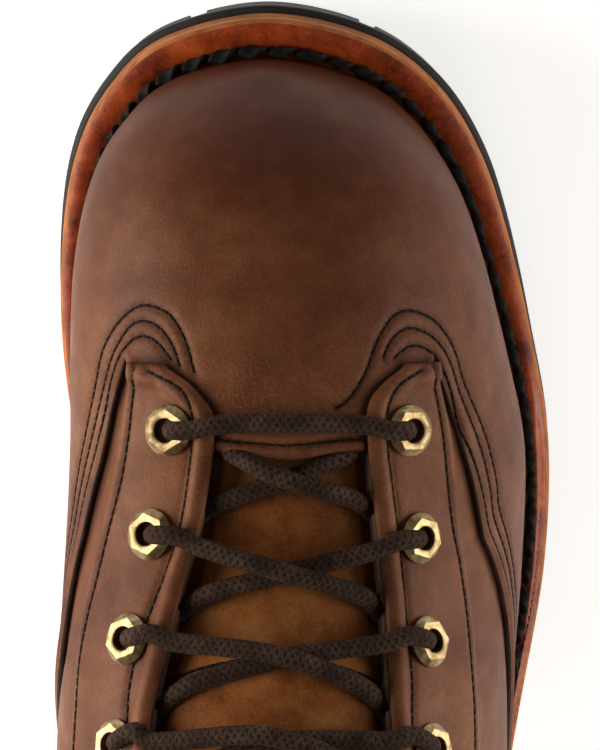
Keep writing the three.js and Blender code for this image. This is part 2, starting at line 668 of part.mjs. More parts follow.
// How far the facing, where it curves inwards, rises over a flat foot that touches it at its middle
function facingRise(s, side, centre, up) {
  let rise = 0
  for (const ahead of span(-0.6, 0.6, 12)) {
    for (const aside of span(-0.09, 0.09, 6)) {
      const from = skin(s + ahead, eyeletAt(s + ahead, side) + aside, side, facingOutside).sub(centre)
      const height = from.dot(up)
      const away = Math.sqrt(Math.max(0, from.lengthSq() - height * height))
      if (away < 0.75 * eyeletFlange) rise = Math.max(rise, height - facingOutside)
    }
  }
  return rise
}

function eyeletFrame(s, side) {
  const a = eyeletAt(s, side)
  const up = normalAt(s, a, side)
  const along = outside(s - 0.02, eyeletAt(s - 0.02, side), side).sub(outside(s + 0.02, eyeletAt(s + 0.02, side), side))
  along.addScaledVector(up, -along.dot(up)).normalize()
  const across = new THREE.Vector3().crossVectors(along, up)
  const centre = outside(s, a, side)
  centre.addScaledVector(up, facingRise(s, side, centre, up))
  return new THREE.Matrix4().makeBasis(across, along, up).setPosition(centre)
}

// A ring with a round foot, a six-sided raised top, a hole and a barrel through the leather
function eyelet() {
  const base = facingOutside + eyeletSeat
  const foot = quarterInside - 0.2
  const rings = [
    [6, 0.5 * eyeletBarrel, base], [12, 0.5 * eyeletFlange, base + 0.15 * eyeletHeight],
    [6, 0.5 * eyeletFlat, base + eyeletHeight], [6, 0.5 * eyeletHole, base + eyeletHeight],
    [6, 0.5 * eyeletHole, foot], [6, 0.5 * eyeletBarrel, foot],
  ]
  const corners = []
  const starts = []
  for (const [count, radius, height] of rings) {
    starts.push(corners.length)
    for (let i = 0; i < count; i++) {
      const turn = 2 * Math.PI * i / count
      corners.push(new THREE.Vector3(radius * Math.cos(turn), radius * Math.sin(turn), height))
    }
  }
  const faces = []
  rings.forEach(([count], k) => {
    const next = (k + 1) % rings.length
    const many = rings[next][0]
    const p = i => starts[k] + (i % count)
    const q = i => starts[next] + (i % many)
    for (let i = 0; i < 6; i++) {
      const a = count / 6
      const b = many / 6
      if (a === 1 && b === 1) faces.push([p(i), q(i), p(i + 1)], [q(i), q(i + 1), p(i + 1)])
      if (a === 1 && b === 2) faces.push([p(i), q(2 * i), q(2 * i + 1)], [p(i), q(2 * i + 1), p(i + 1)], [p(i + 1), q(2 * i + 1), q(2 * i + 2)])
      if (a === 2 && b === 1) faces.push([p(2 * i), q(i), p(2 * i + 1)], [p(2 * i + 1), q(i), q(i + 1)], [p(2 * i + 1), q(i + 1), p(2 * i + 2)])
      if (a === 2 && b === 2) {
        for (const j of [2 * i, 2 * i + 1]) faces.push([p(j), q(j), p(j + 1)], [q(j), q(j + 1), p(j + 1)])
      }
    }
  })
  return closed(corners, faces.map(face => face.reverse()))
}

function eyeletDrill(s, side) {
  const drill = new THREE.CylinderGeometry(0.5 * eyeletBarrel + gap, 0.5 * eyeletBarrel + gap, cutterSpare, 6, 1, false, Math.PI / 6)
  drill.rotateX(Math.PI / 2)
  drill.applyMatrix4(eyeletFrame(s, side))
  return solid(drill)
}

// Lace: a bar between the lowest eyelets, then a crossing above each of the other rows
function strand(points, steps) {
  const circle = new THREE.Shape()
  circle.absarc(0, 0, 0.5 * laceDiameter, 0, 2 * Math.PI, false)
  const curve = new THREE.CatmullRomCurve3(points)
  return new THREE.ExtrudeGeometry(circle, { steps, curveSegments: 3, extrudePath: curve, bevelEnabled: false })
}

const overFacing = facingOutside + gap + 0.5 * laceDiameter
const overTongue = tongueOutside + gap + 0.7 * laceDiameter
const besideEyelet = 0.075      // as a share of the rib, like the edges above
const besideThroat = 0.045

function laceBar(s) {
  const ends = side => [besideEyelet, besideEyelet + 0.045].map(step => skin(s[side], eyeletAt(s[side], side) + step, side, overFacing + 1.2 * gap))
  const middle = skin(0.5 * (s[1] + s[-1]), 1, 1, 0.5 * laceDiameter + gap)
  return strand([...ends(1), middle, ...ends(-1).reverse()], 6)
}

// One lace from each side meets the other over the middle of the tongue
function laceCrossing(low, high, fromBelow) {
  const cross = side => {
    const middle = skin(0.25 * (low[1] + low[-1] + high[1] + high[-1]), 1, 1, overTongue)
    const near = high[-side] + 0.3 * (low[-side] - high[-side])
    const end = skin(near, throatAt(near, -side) + besideThroat, -side, overTongue)
    const under = low[side] - 0.42 * (low[side] - high[side])
    const start = fromBelow
      ? [skin(under, throatAt(under, side) + besideThroat, side, overTongue)]
      : [skin(low[side], eyeletAt(low[side], side) + besideEyelet, side, overFacing + 1.2 * gap), skin(low[side] - 0.08, throatAt(low[side], side), side, overFacing + 6 * gap)]
    return solid(strand([...start, middle, end], fromBelow ? 3 : 4))
  }
  return geometryOf(cross(1).add(cross(-1)))
}

// Materials
const brownLeather = new THREE.MeshStandardMaterial({ color: 0x5b4031, roughness: 0.5, metalness: 0 })
const amberLeather = new THREE.MeshStandardMaterial({ color: 0x53381f, roughness: 0.6, metalness: 0 })
const tanEdge = new THREE.MeshStandardMaterial({ color: 0xa05a34, roughness: 0.6, metalness: 0 })
const liningTan = new THREE.MeshStandardMaterial({ color: 0xb08a62, roughness: 0.8, metalness: 0 })
const blackRubber = new THREE.MeshStandardMaterial({ color: 0x1b1a19, roughness: 0.75, metalness: 0 })
const paleBrass = new THREE.MeshStandardMaterial({ color: 0xc9bd93, roughness: 0.35, metalness: 1 })
const darkLace = new THREE.MeshStandardMaterial({ color: 0x2c221d, roughness: 0.8, metalness: 0 })

const boot = new THREE.Group()

function add(name, geometry, material) {
  const mesh = new THREE.Mesh(geometry, material)
  mesh.name = name
  boot.add(mesh)
  return mesh
}

const rowsOfEyelets = { 1: eyeletStations(1), [-1]: eyeletStations(-1) }
const drills = side => wasm.Manifold.union(rowsOfEyelets[side].map(s => eyeletDrill(s, side)))
const vamp = solid(vampWall()).subtract(solid(facingNotch(1))).subtract(solid(facingNotch(-1)))
const soleForm = solid(slab(outline(1, 3), [[0, y => lastingPlane(y) - 4 * cutterSpare], [0, y => lastingPlane(y) + gap]]))
const upper = mainBody(solid(upperWall()).add(vamp).subtract(soleForm).subtract(drills(1)).subtract(drills(-1)))

add('upper', geometryOf(upper), brownLeather)
add('facing_lateral', geometryOf(solid(facing(1)).subtract(drills(1))), brownLeather)
add('facing_medial', geometryOf(solid(facing(-1)).subtract(drills(-1))), brownLeather)
add('tongue', tongue(), amberLeather)
add('insole', insole(), liningTan)
add('welt', welt(), tanEdge)
add('midsole', midsole(), tanEdge)
add('outsole', outsole(), blackRubber)
add('heel', heelBlock(), blackRubber)

for (const [side, word] of [[1, 'lateral'], [-1, 'medial']]) {
  rowsOfEyelets[side].forEach((s, k) => {
    const mesh = add('eyelet_' + word + '_' + (k + 1), eyelet(), paleBrass)
    mesh.applyMatrix4(eyeletFrame(s, side))
  })
}

const rowAt = k => ({ 1: rowsOfEyelets[1][k], [-1]: rowsOfEyelets[-1][k] })
add('lace_bar', laceBar(rowAt(0)), darkLace)
for (let k = 0; k + 1 < eyeletRows; k++) add('lace_crossing_' + (k + 1), laceCrossing(rowAt(k), rowAt(k + 1), k === 0), darkLace)

export default boot
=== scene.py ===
import json
import math
import random

import bmesh
import bpy
import numpy as np
from mathutils import Matrix, Vector
from mathutils.kdtree import KDTree

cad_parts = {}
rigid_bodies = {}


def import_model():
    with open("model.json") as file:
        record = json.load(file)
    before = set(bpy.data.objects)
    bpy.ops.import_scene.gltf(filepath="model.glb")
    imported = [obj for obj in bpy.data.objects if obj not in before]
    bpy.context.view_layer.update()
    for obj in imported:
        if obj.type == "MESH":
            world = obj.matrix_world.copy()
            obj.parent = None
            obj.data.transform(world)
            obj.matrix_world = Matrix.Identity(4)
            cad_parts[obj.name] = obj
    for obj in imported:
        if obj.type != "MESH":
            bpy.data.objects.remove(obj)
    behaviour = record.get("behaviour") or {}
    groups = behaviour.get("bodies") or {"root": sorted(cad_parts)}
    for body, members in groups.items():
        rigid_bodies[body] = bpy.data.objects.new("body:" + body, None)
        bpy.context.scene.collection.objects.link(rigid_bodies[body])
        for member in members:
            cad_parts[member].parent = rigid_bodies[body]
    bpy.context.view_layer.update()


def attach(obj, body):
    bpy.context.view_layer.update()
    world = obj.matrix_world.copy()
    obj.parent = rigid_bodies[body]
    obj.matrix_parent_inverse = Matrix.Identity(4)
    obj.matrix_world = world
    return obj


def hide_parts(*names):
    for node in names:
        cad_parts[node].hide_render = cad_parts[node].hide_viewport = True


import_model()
mm = 0.001
random.seed(7)

# The last, as rows of ribs

lastSizes = {
    "soleLength": 0.306,
    "ballWidth": 0.114,
    "shaftHeight": 0.252,
    "instepHeight": 0.100,
    "heelHeight": 0.043,
    "toeSpring": 0.012,
}
soleLayers = {
    "welt": 3.5 * mm,
    "midsole": 4.5 * mm,
    "outsole": 12.4 * mm,
    "overHeel": 5 * mm,
    "lugDepth": 5 * mm,
    "lugPitch": 25 * mm,
    "lugGroove": 4 * mm,
    "rimWidth": 17 * mm,
    "weltReach": 9.5 * mm,
    "heelTaper": 5 * mm,
    "heelCap": 13 * mm,
    "gap": 0.3 * mm,
    "toeOut": 0.9 * mm,
}
length = lastSizes["soleLength"]
ball = lastSizes["ballWidth"]
foreStack = soleLayers["welt"] + soleLayers["midsole"] + soleLayers["outsole"] + 2 * soleLayers["gap"]
heelStack = (lastSizes["heelHeight"] + soleLayers["overHeel"] + soleLayers["midsole"] + soleLayers["welt"]
             + 3 * soleLayers["gap"])


def smooth(t):
    u = np.clip(t, 0, 1)
    return u * u * (3 - 2 * u)


def lastingPlane(y):
    y = np.asarray(y, float)
    spring = lastSizes["toeSpring"] * np.maximum(0, (y - 0.265 * length) / (0.255 * length)) ** 2
    return foreStack + spring + (heelStack - foreStack) * smooth((0.118 * length - y) / (0.343 * length))


# Ribs from the tongue's top down the shaft and along the foot to the toe, as shares of the sizes above:
# foot of the rib x out, x in, y, height on the shaft, ridge x, y, z, widths, where it is widest, roundness
lastRows = {
    "tongue": (-0.046, -0.046, -0.428, -0.428, 1.11, -0.072, -0.067, 1.17, 0.395, 0.395, 0.5, 0.5, 2.2, 2.2),
    "collar": (-0.046, -0.046, -0.428, -0.428, 0.985, -0.072, -0.060, 1.00, 0.395, 0.395, 0.5, 0.5, 2.2, 2.2),
    "calf": (-0.046, -0.046, -0.422, -0.422, 0.805, -0.072, -0.049, 0.754, 0.39, 0.39, 0.5, 0.5, 2.2, 2.2),
    "middle": (-0.046, -0.046, -0.418, -0.418, 0.62, -0.072, -0.036, 0.518, 0.386, 0.386, 0.5, 0.5, 2.2, 2.2),
    "low": (-0.042, -0.042, -0.423, -0.423, 0.451, -0.072, -0.021, 0.325, 0.39, 0.39, 0.5, 0.5, 2.15, 2.15),
    "ankle": (-0.037, -0.037, -0.448, -0.448, 0.287, -0.072, -0.007, 0.184, 0.404, 0.408,
              0.47, 0.47, 2.10, 2.10),
    "counter": (-0.033, -0.033, -0.477, -0.477, 0.138, -0.071, 0.008, 0.079, 0.408, 0.421,
                0.45, 0.46, 2.05, 2.05),
    "heel": (-0.033, -0.033, -0.487, -0.487, 0, -0.068, 0.023, 1.17, 0.404, 0.430, 0.44, 0.46, 2.00, 2.00),
    "seat": (0.164, -0.222, -0.464, -0.464, 0, -0.066, 0.041, 1.10, 0.404, 0.439, 0.43, 0.45, 2.00, 2.00),
    "breast": (0.265, -0.322, -0.389, -0.389, 0, -0.064, 0.060, 1.035, 0.402, 0.447, 0.42, 0.44, 1.95, 1.95),
    "shank": (0.295, -0.336, -0.288, -0.288, 0, -0.060, 0.085, 0.965, 0.417, 0.466, 0.40, 0.43, 1.95, 1.95),
    "arch": (0.326, -0.318, -0.170, -0.170, 0, -0.055, 0.118, 0.890, 0.412, 0.476, 0.36, 0.42, 1.95, 1.95),
    "waist": (0.385, -0.322, -0.049, -0.049, 0, -0.049, 0.155, 0.815, 0.395, 0.478, 0.32, 0.42, 1.95, 2.00),
    "instep": (0.438, -0.368, 0.065, 0.065, 0, -0.043, 0.199, 0.750, 0.411, 0.472, 0.27, 0.40, 1.95, 2.00),
    "ball": (0.437, -0.414, 0.163, 0.163, 0, -0.039, 0.248, 0.695, 0.429, 0.453, 0.24, 0.36, 2.00, 2.10),
    "joint": (0.390, -0.436, 0.248, 0.248, 0, -0.041, 0.297, 0.645, 0.412, 0.432, 0.22, 0.32, 2.05, 2.15),
    "vamp": (0.333, -0.428, 0.324, 0.324, 0, -0.048, 0.342, 0.600, 0.384, 0.403, 0.22, 0.30, 2.10, 2.20),
    "box": (0.276, -0.393, 0.379, 0.386, 0, -0.057, 0.382, 0.550, 0.342, 0.359, 0.24, 0.30, 2.20, 2.20),
    "cap": (0.197, -0.331, 0.423, 0.425, 0, -0.067, 0.418, 0.475, 0.270, 0.293, 0.28, 0.32, 2.20, 2.20),
    "tip": (0.087, -0.246, 0.453, 0.453, 0, -0.079, 0.446, 0.360, 0.171, 0.190, 0.32, 0.32, 2.20, 2.20),
    "toe": (-0.081, -0.081, 0.467, 0.467, 0, -0.081, 0.467, 0.220, 0.000, 0.000, 0.35, 0.35, 2.20, 2.20),
}
rowNames = list(lastRows)
collar, heelRow, toeRow = rowNames.index("collar"), rowNames.index("heel"), rowNames.index("toe")


def sizedRows():
    # the ribs in metres: foot x, y and z, out and in, ridge x, y and z, then widths and shares
    instepTop = foreStack + lastRows["heel"][7] * lastSizes["instepHeight"]
    rows = []
    for i, r in enumerate(lastRows.values()):
        outY, inY = r[2] * length, r[3] * length
        if i <= heelRow:
            outZ = inZ = heelStack + r[4] * (lastSizes["shaftHeight"] - heelStack)
        else:
            outZ, inZ = float(lastingPlane(outY)), float(lastingPlane(inY))
        if i < heelRow:
            ridgeZ = instepTop + r[7] * (lastSizes["shaftHeight"] - instepTop)
        else:
            ridgeZ = foreStack + r[7] * lastSizes["instepHeight"]
        rows.append([r[0] * ball, r[1] * ball, outY, inY, outZ, inZ, r[5] * ball, r[6] * length, ridgeZ,
                     r[8] * ball, r[9] * ball, *r[10:]])
    return np.array(rows)


rib = sizedRows()


def mirroredRow(row, about):
    # past the toe, and for the foot columns past the heel, both ends close round
    m = row.copy()
    m[[0, 1, 6]] = 2 * about[[0, 1, 6]] - row[[0, 1, 6]]
    m[9:11] = -row[9:11]
    return m


pastToe = mirroredRow(rib[toeRow - 1], rib[toeRow])
pastHeel = mirroredRow(rib[heelRow + 1], rib[heelRow])


def splined(before, b, c, after, t):
    # the curve from b to c that also heeds the places before and after them
    return 0.5 * (2 * b + (c - before) * t + (2 * before - 5 * b + 4 * c - after) * t ** 2
                  + (3 * b - before - 3 * c + after) * t ** 3)


def ribAt(s):
    s = np.clip(s, 0, toeRow)
    i = np.minimum(np.floor(s).astype(int), toeRow - 1)
    b, c = rib[i], rib[i + 1]
    before = np.where((i > 0)[:, None], rib[np.maximum(i - 1, 0)], 2 * b - c)
    before[i == heelRow, 0:6] = pastHeel[0:6]
    after = np.where((i + 2 > toeRow)[:, None], pastToe, rib[np.minimum(i + 2, toeRow)])
    # both sides share one back line down to the heel's row
    lastBack = i == heelRow - 1
    after[lastBack, 0:2] = (2 * c - b)[lastBack, 0:2]
    return splined(before, b, c, after, (s - i)[:, None])


def arrays(s, a):
    return np.broadcast_arrays(np.atleast_1d(np.asarray(s, float)), np.atleast_1d(np.asarray(a, float)))


def outside(s, a, side):
    # s runs over the rows, a from the foot of the rib (0) to the ridge (1), side 1 is the outer side
    s, a = arrays(s, a)
    r = ribAt(s)
    k = 0 if side > 0 else 1
    middle = 0.5 * (r[:, 0] + r[:, 1])
    foot = np.abs(r[:, k] - middle)
    width = np.maximum(r[:, 9 + k], foot + 0.01 * mm)
    belly, crown = r[:, 11 + k], 2 / r[:, 13 + k]
    start = np.arccos(np.minimum(1, foot / width))
    split = np.clip(0.9 * belly, 0.15, 0.6)
    low = a < split
    angle = np.where(low, (1 - a / split) * start, np.clip((a - split) / (1 - split), 0, 1) * np.pi / 2)
    lift = np.sin(angle)
    height = np.where(low, belly * (1 - lift / np.maximum(np.sin(start), 1e-6)),
                      belly + (1 - belly) * lift ** crown)
    out = np.where(low, width * np.cos(angle), width * np.maximum(0, np.cos(angle)) ** crown)
    return np.stack([
        middle + (r[:, 6] - middle) * height + side * out,
        r[:, 2 + k] + (r[:, 7] - r[:, 2 + k]) * height,
        r[:, 4 + k] + (r[:, 8] - r[:, 4 + k]) * height,
    ], axis=-1)


def unit(v):
    return v / np.maximum(np.linalg.norm(v, axis=-1, keepdims=True), 1e-12)


def oneSideNormal(s, a, side):
    step = 0.01
    at = np.clip(a, 0.001, 0.999)
    along = outside(np.minimum(toeRow, s + step), at, side) - outside(np.maximum(0, s - step), at, side)
    around = outside(s, np.minimum(0.999, at + step), side) - outside(s, np.maximum(0.001, at - step), side)
    return unit(side * np.cross(along, around))


def normalAt(s, a, side):
    s, a = arrays(s, a)
    n = oneSideNormal(s, a, side)
    shared = (a > 1 - 1e-6) | ((a < 1e-6) & (s < heelRow + 1e-6)) | (s > toeRow - 1e-6)
    if shared.any():
        n[shared] = unit(n[shared] + oneSideNormal(s[shared], a[shared], -side))
    return n


def skin(s, a, side, level):
    # a point the given distance outside the form, or inside it where level is negative
    n = normalAt(s, a, side)
    return outside(s, a, side) + n * np.reshape(level, (-1, 1) if np.ndim(level) else 1)


# Edges over the form: throat edge, facing's outer edge and eyelet line, out and in
edgeRows = np.array([
    [0, 0.815, 0.815, 0.620, 0.620, 0.715, 0.715],
    [3, 0.805, 0.805, 0.605, 0.605, 0.705, 0.705],
    [6, 0.800, 0.800, 0.580, 0.585, 0.690, 0.700],
    [8, 0.785, 0.793, 0.560, 0.590, 0.680, 0.710],
    [9.5, 0.792, 0.801, 0.583, 0.620, 0.712, 0.738],
    [11, 0.785, 0.845, 0.565, 0.635, 0.692, 0.756],
    [12, 0.808, 0.870, 0.614, 0.671, 0.715, 0.783],
    [12.86, 0.835, 0.881, 0.644, 0.692, 0.738, 0.793],
    [13.36, 0.837, 0.880, 0.653, 0.696, 0.748, 0.795],
    [13.56, 0.824, 0.851, 0.654, 0.698, 0.746, 0.794],
    [13.72, 0.795, 0.831, 0.655, 0.699, 0.745, 0.793],
    [13.86, 0.758, 0.795, 0.656, 0.700, 0.744, 0.792],
    [13.95, 0.721, 0.757, 0.661, 0.703, 0.744, 0.792],
])
vampEdgeRows = np.array([
    [8.2, 0.001, 0.001],
    [10, 0.070, 0.200],
    [11, 0.270, 0.495],
    [12, 0.510, 0.578],
    [12.86, 0.584, 0.622],
    [13.36, 0.614, 0.636],
    [13.95, 0.643, 0.662],
])


def edgeAt(rows, s, side, column):
    return np.interp(np.asarray(s, float) - collar, rows[:, 0], rows[:, column + (0 if side > 0 else 1)])


def throatAt(s, side):
    # a mean over nearby rows rounds its corners
    near = [edgeAt(edgeRows, np.asarray(s, float) + d, side, 1) for d in (-0.12, -0.06, 0, 0.06, 0.12)]
    return sum(near) / len(near)


def facingAt(s, side):
    return edgeAt(edgeRows, s, side, 3)


def eyeletAt(s, side):
    return edgeAt(edgeRows, s, side, 5)


def vampAt(s, side):
    return edgeAt(vampEdgeRows, s, side, 1)


vampThroat = rowNames.index("waist") + 1.86
facingFront = rowNames.index("instep") + 1.95
print("last: ready")

# Tools for lines and meshes


def runAlong(points):
    # how far along the line each of its points lies
    return np.concatenate([[0], np.cumsum(np.linalg.norm(np.diff(points, axis=0), axis=1))])


def evenPoints(line, count):
    # so many points at even distances along a line, from end to end
    line = np.asarray(line)
    run = runAlong(line)
    even = np.linspace(0, run[-1], count)
    return np.stack([np.interp(even, run, column) for column in line.T], axis=1)


def evenLoop(loop, count):
    # the same round a closed outline
    return evenPoints(np.vstack([loop, loop[:1]]), count + 1)[:-1]


def evenRows(first, last, count, side=1, share=0.62):
    # rows whose ribs are evenly spaced at the given share
    s = np.linspace(first, last, 600)
    run = runAlong(outside(s, share, side))
    return np.interp(np.linspace(0, run[-1], count + 1), run, s)


def picked(rows, w):
    return rows[np.round(w * (len(rows) - 1)).astype(int)]


def bell(distance, reach):
    return np.exp(-(distance / reach) ** 2)


def distanceTo(points, lines):
    # how far each point lies from the nearest of the lines' points
    corners = np.vstack(lines)
    tree = KDTree(len(corners))
    for k, p in enumerate(corners):
        tree.insert(p, k)
    tree.balance()
    return np.array([tree.find(p)[2] for p in points])


def asMesh(bm, name):
    mesh = bpy.data.meshes.new(name)
    bm.to_mesh(mesh)
    bm.free()
    return mesh


def newObject(name, bm, materials, nodes=()):
    mesh = asMesh(bm, name)
    for one in materials:
        mesh.materials.append(one)
    mesh.shade_smooth()
    piece = bpy.data.objects.new(name, mesh)
    bpy.context.scene.collection.objects.link(piece)
    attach(piece, "root")
    if nodes:
        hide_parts(*nodes)
    return piece


def joined(bm, other):
    spare = asMesh(other, "spare")
    bm.from_mesh(spare)
    bpy.data.meshes.remove(spare)
    return bm


def gridSheet(rows, columns, place, bm=None):
    # a grid of quads; place(u, w) gives the corners, u across the columns and w along the rows, both 0 to 1
    sheet = bmesh.new()
    sheet.loops.layers.uv.new("UVMap")
    bmesh.ops.create_grid(sheet, x_segments=columns, y_segments=rows, size=0.5, calc_uvs=True)
    flat = np.array([v.co for v in sheet.verts])
    for v, p in zip(sheet.verts, place(flat[:, 0] + 0.5, flat[:, 1] + 0.5)):
        v.co = p
    return sheet if bm is None else joined(bm, sheet)


def merged(bm, distance):
    bmesh.ops.remove_doubles(bm, verts=bm.verts, dist=distance)
    return bm


def bothSides(sheet):
    # the sheet of the outer side and the inner side's, joined where they meet
    return merged(joined(sheet(1), sheet(-1)), 0.02 * mm)


def welded(bm, distance=0.02 * mm):
    merged(bm, distance)
    bmesh.ops.dissolve_degenerate(bm, edges=bm.edges, dist=0.001 * mm)
    bmesh.ops.recalc_face_normals(bm, faces=bm.faces)
    return bm


def capped(bm):
    bmesh.ops.holes_fill(bm, edges=[e for e in bm.edges if e.is_boundary])
    bmesh.ops.recalc_face_normals(bm, faces=bm.faces)
    return bm


def facingOut(bm, towards):
    # turns an open sheet so that its faces look away from the point given
    bm.normal_update()
    total = sum((f.calc_center_median() - Vector(towards)).dot(f.normal) * f.calc_area() for f in bm.faces)
    if total < 0:
        bmesh.ops.reverse_faces(bm, faces=bm.faces)
    return bm


def thickened(piece, thickness, rimSlot=0, backSlot=0):
    wall = piece.modifiers.new("wall", "SOLIDIFY")
    wall.thickness = thickness
    wall.offset = -1
    wall.use_even_offset = False
    wall.material_offset_rim = rimSlot
    wall.material_offset = backSlot
    return piece


def pathPoints(places, side, level, spacing):
    # even points along a line of (row, share) places on the form, with their normals
    places = np.array(places, float)
    t = np.linspace(0, len(places) - 1, 40 * len(places))
    i = np.minimum(t.astype(int), len(places) - 2)
    after = places[np.minimum(i + 2, len(places) - 1)]
    fine = splined(places[np.maximum(i - 1, 0)], places[i], places[i + 1], after, (t - i)[:, None])
    run = runAlong(outside(fine[:, 0], fine[:, 1], side))
    even = np.linspace(0, run[-1], max(2, int(round(run[-1] / spacing)) + 1))
    s = np.interp(even, run, fine[:, 0])
    a = np.interp(even, run, fine[:, 1])
    return skin(s, a, side, level(s, a, side) if callable(level) else level), normalAt(s, a, side)


def copies(template, places, bm=None):
    # one bmesh with a copy of the template mesh at each matrix
    bm = bm or bmesh.new()
    for place in places:
        one = template.copy()
        one.transform(place)
        bm.from_mesh(one)
        bpy.data.meshes.remove(one)
    return bm


def basis(across, along, up, centre):
    return Matrix(np.vstack([np.column_stack([across, along, up, centre]), [0, 0, 0, 1]]).tolist())


def sweptTube(path, radii, sides):
    # a tube along the points, its ends open; radii has one number a point
    last = len(path) - 1
    tangents = unit(np.gradient(path, axis=0))
    up = unit(np.cross(tangents[0], [0.3, 0.2, 1.0]))
    frames = []
    for tangent in tangents:
        side = unit(np.cross(tangent, up))
        up = unit(np.cross(side, tangent))
        frames.append((side, up))
    sideAxes, upAxes = np.swapaxes(np.array(frames), 0, 1)

    def place(u, w):
        k = np.round(w * last).astype(int)
        turn = 2 * np.pi * u[:, None]
        return path[k] + radii[k][:, None] * (np.cos(turn) * sideAxes[k] + np.sin(turn) * upAxes[k])

    bm = gridSheet(last, sides, place)
    layer = bm.loops.layers.uv.active
    run = runAlong(path)
    for face in bm.faces:
        for loop in face.loops:
            uv = loop[layer].uv
            loop[layer].uv = (uv.x, run[int(round(uv.y * last))] / 0.01)
    return merged(bm, 0.001 * mm)


def loopsSheet(loops, closedAcross=False):
    # a skin through closed loops of points; closedAcross joins the last loop to the first
    if closedAcross:
        loops = [*loops, loops[0]]
    stack = np.array([np.vstack([loop, loop[:1]]) for loop in loops])
    rows, columns = stack.shape[0] - 1, stack.shape[1] - 1

    def place(u, w):
        return stack[np.round(w * rows).astype(int), np.round(u * columns).astype(int)]

    return gridSheet(rows, columns, place)


# Shader maths


class Amount:
    # a number that changes over a surface; arithmetic on it adds Math nodes
    def __init__(self, finish, socket):
        self.finish = finish
        self.socket = socket

    def maths(self, operation, *values):
        return self.finish.node("Math", {"operation": operation}, dict(enumerate(values)))

    def __add__(self, other):
        return self.maths("ADD", self, other)

    def __sub__(self, other):
        return self.maths("SUBTRACT", self, other)

    def __rsub__(self, other):
        return self.maths("SUBTRACT", other, self)

    def __mul__(self, other):
        return self.maths("MULTIPLY", self, other)

    __radd__ = __add__
    __rmul__ = __mul__

    def sine(self):
        return self.maths("SINE", self)

    def size(self):
        return self.maths("ABSOLUTE", self)

    def above(self, other):
        return self.maths("MAXIMUM", self, other)

    def step(self, low, high):
        # 0 below low, 1 above high, soft between
        settings = {"interpolation_type": "SMOOTHSTEP"}
        return self.finish.node("MapRange", settings, {"Value": self, "From Min": low, "From Max": high})


class Finish:
    # a material whose nodes are made by one method
    def __init__(self, name, **constants):
        self.material = bpy.data.materials.new(name)
        self.material.use_nodes = True
        self.tree = self.material.node_tree
        self.tree.nodes.clear()
        self.out = self.tree.nodes.new("ShaderNodeOutputMaterial")
        self.shader = self.tree.nodes.new("ShaderNodeBsdfPrincipled")
        self.tree.links.new(self.shader.outputs[0], self.out.inputs[0])
        for key, value in constants.items():
            self.shader.inputs[key.replace("_", " ")].default_value = value
        self.place = self.node("TexCoord", {}, {}, "Object")

    def node(self, kind, settings, inputs, output=0):
        made = self.tree.nodes.new("ShaderNode" + kind)
        for key, value in settings.items():
            setattr(made, key, value)
        for key, value in inputs.items():
            if isinstance(value, Amount):
                self.tree.links.new(value.socket, made.inputs[key])
            elif isinstance(value, tuple) and made.inputs[key].type == "RGBA":
                made.inputs[key].default_value = (*value, 1)
            else:
                made.inputs[key].default_value = value
        return Amount(self, made.outputs[output])

    def noise(self, grain, detail=2.0, rough=0.5, place=None, bend=0.0):
        # grain is the size of its features in metres
        return self.node("TexNoise", {}, {"Vector": place or self.place, "Scale": 1 / grain, "Detail": detail,
                                          "Roughness": rough, "Distortion": bend})

    def cells(self, grain, place=None):
        # the distance to the nearest border between cells
        inputs = {"Vector": place or self.place, "Scale": 1 / grain}
        return self.node("TexVoronoi", {"feature": "DISTANCE_TO_EDGE"}, inputs, "Distance")

    def stretched(self, x, y, z):
        # the place with each direction stretched, for marks that run one way
        return self.node("Mapping", {}, {"Vector": self.place, "Scale": (1 / x, 1 / y, 1 / z)})

    def mixed(self, amount, first, second):
        return self.node("Mix", {"data_type": "RGBA"}, {0: amount, 6: first, 7: second}, 2)

    def ramp(self, amount, stops):
        made = self.node("ValToRGB", {}, {0: amount}, "Color")
        elements = made.socket.node.color_ramp.elements
        while len(elements) < len(stops):
            elements.new(0.5)
        for element, (position, colour) in zip(elements, stops):
            element.position = position
            element.color = (*colour, 1)
        return made

    def bumped(self, height, depth, strength=1.0):
        return self.node("Bump", {}, {"Height": height, "Distance": depth, "Strength": strength}, "Normal")

    def axis(self, which):
        return self.node("SeparateXYZ", {}, {0: self.place}, which)

    def uv(self, which):
        return self.node("SeparateXYZ", {}, {0: self.node("UVMap", {"uv_map": "UVMap"}, {})}, which)

    def put(self, **channels):
        for key, value in channels.items():
            self.tree.links.new(value.socket, self.shader.inputs[key.replace("_", " ")])
        return self.material


print("tools: ready")

# Finishes

leatherLook = {
    "dark": (0.079, 0.0235, 0.0100),
    "middle": (0.139, 0.0465, 0.0190),
    "light": (0.235, 0.0930, 0.0400),
    # seam: the colour of the painted shade in stitch grooves and beside edges
    "seam": (0.016, 0.0055, 0.0030),
    # the colour of the painted shade at the toe
    "toeShade": (0.044, 0.0060, 0.0014),
    "grain": 0.5 * mm,
    "pores": 0.95 * mm,
    "patches": 36 * mm,
    "toeFrom": 84 * mm,
    "toeTo": 142 * mm,
    "bendAt": 74 * mm,
    "bendReach": 30 * mm,
    "bendWidth": 34 * mm,
    "wrinkles": (2.1 * mm, 1.1 * mm),
    "speckle": 0.6 * mm,
    "seamShadeDark": 0.72,
    "toeShadeDark": 0.72,
}


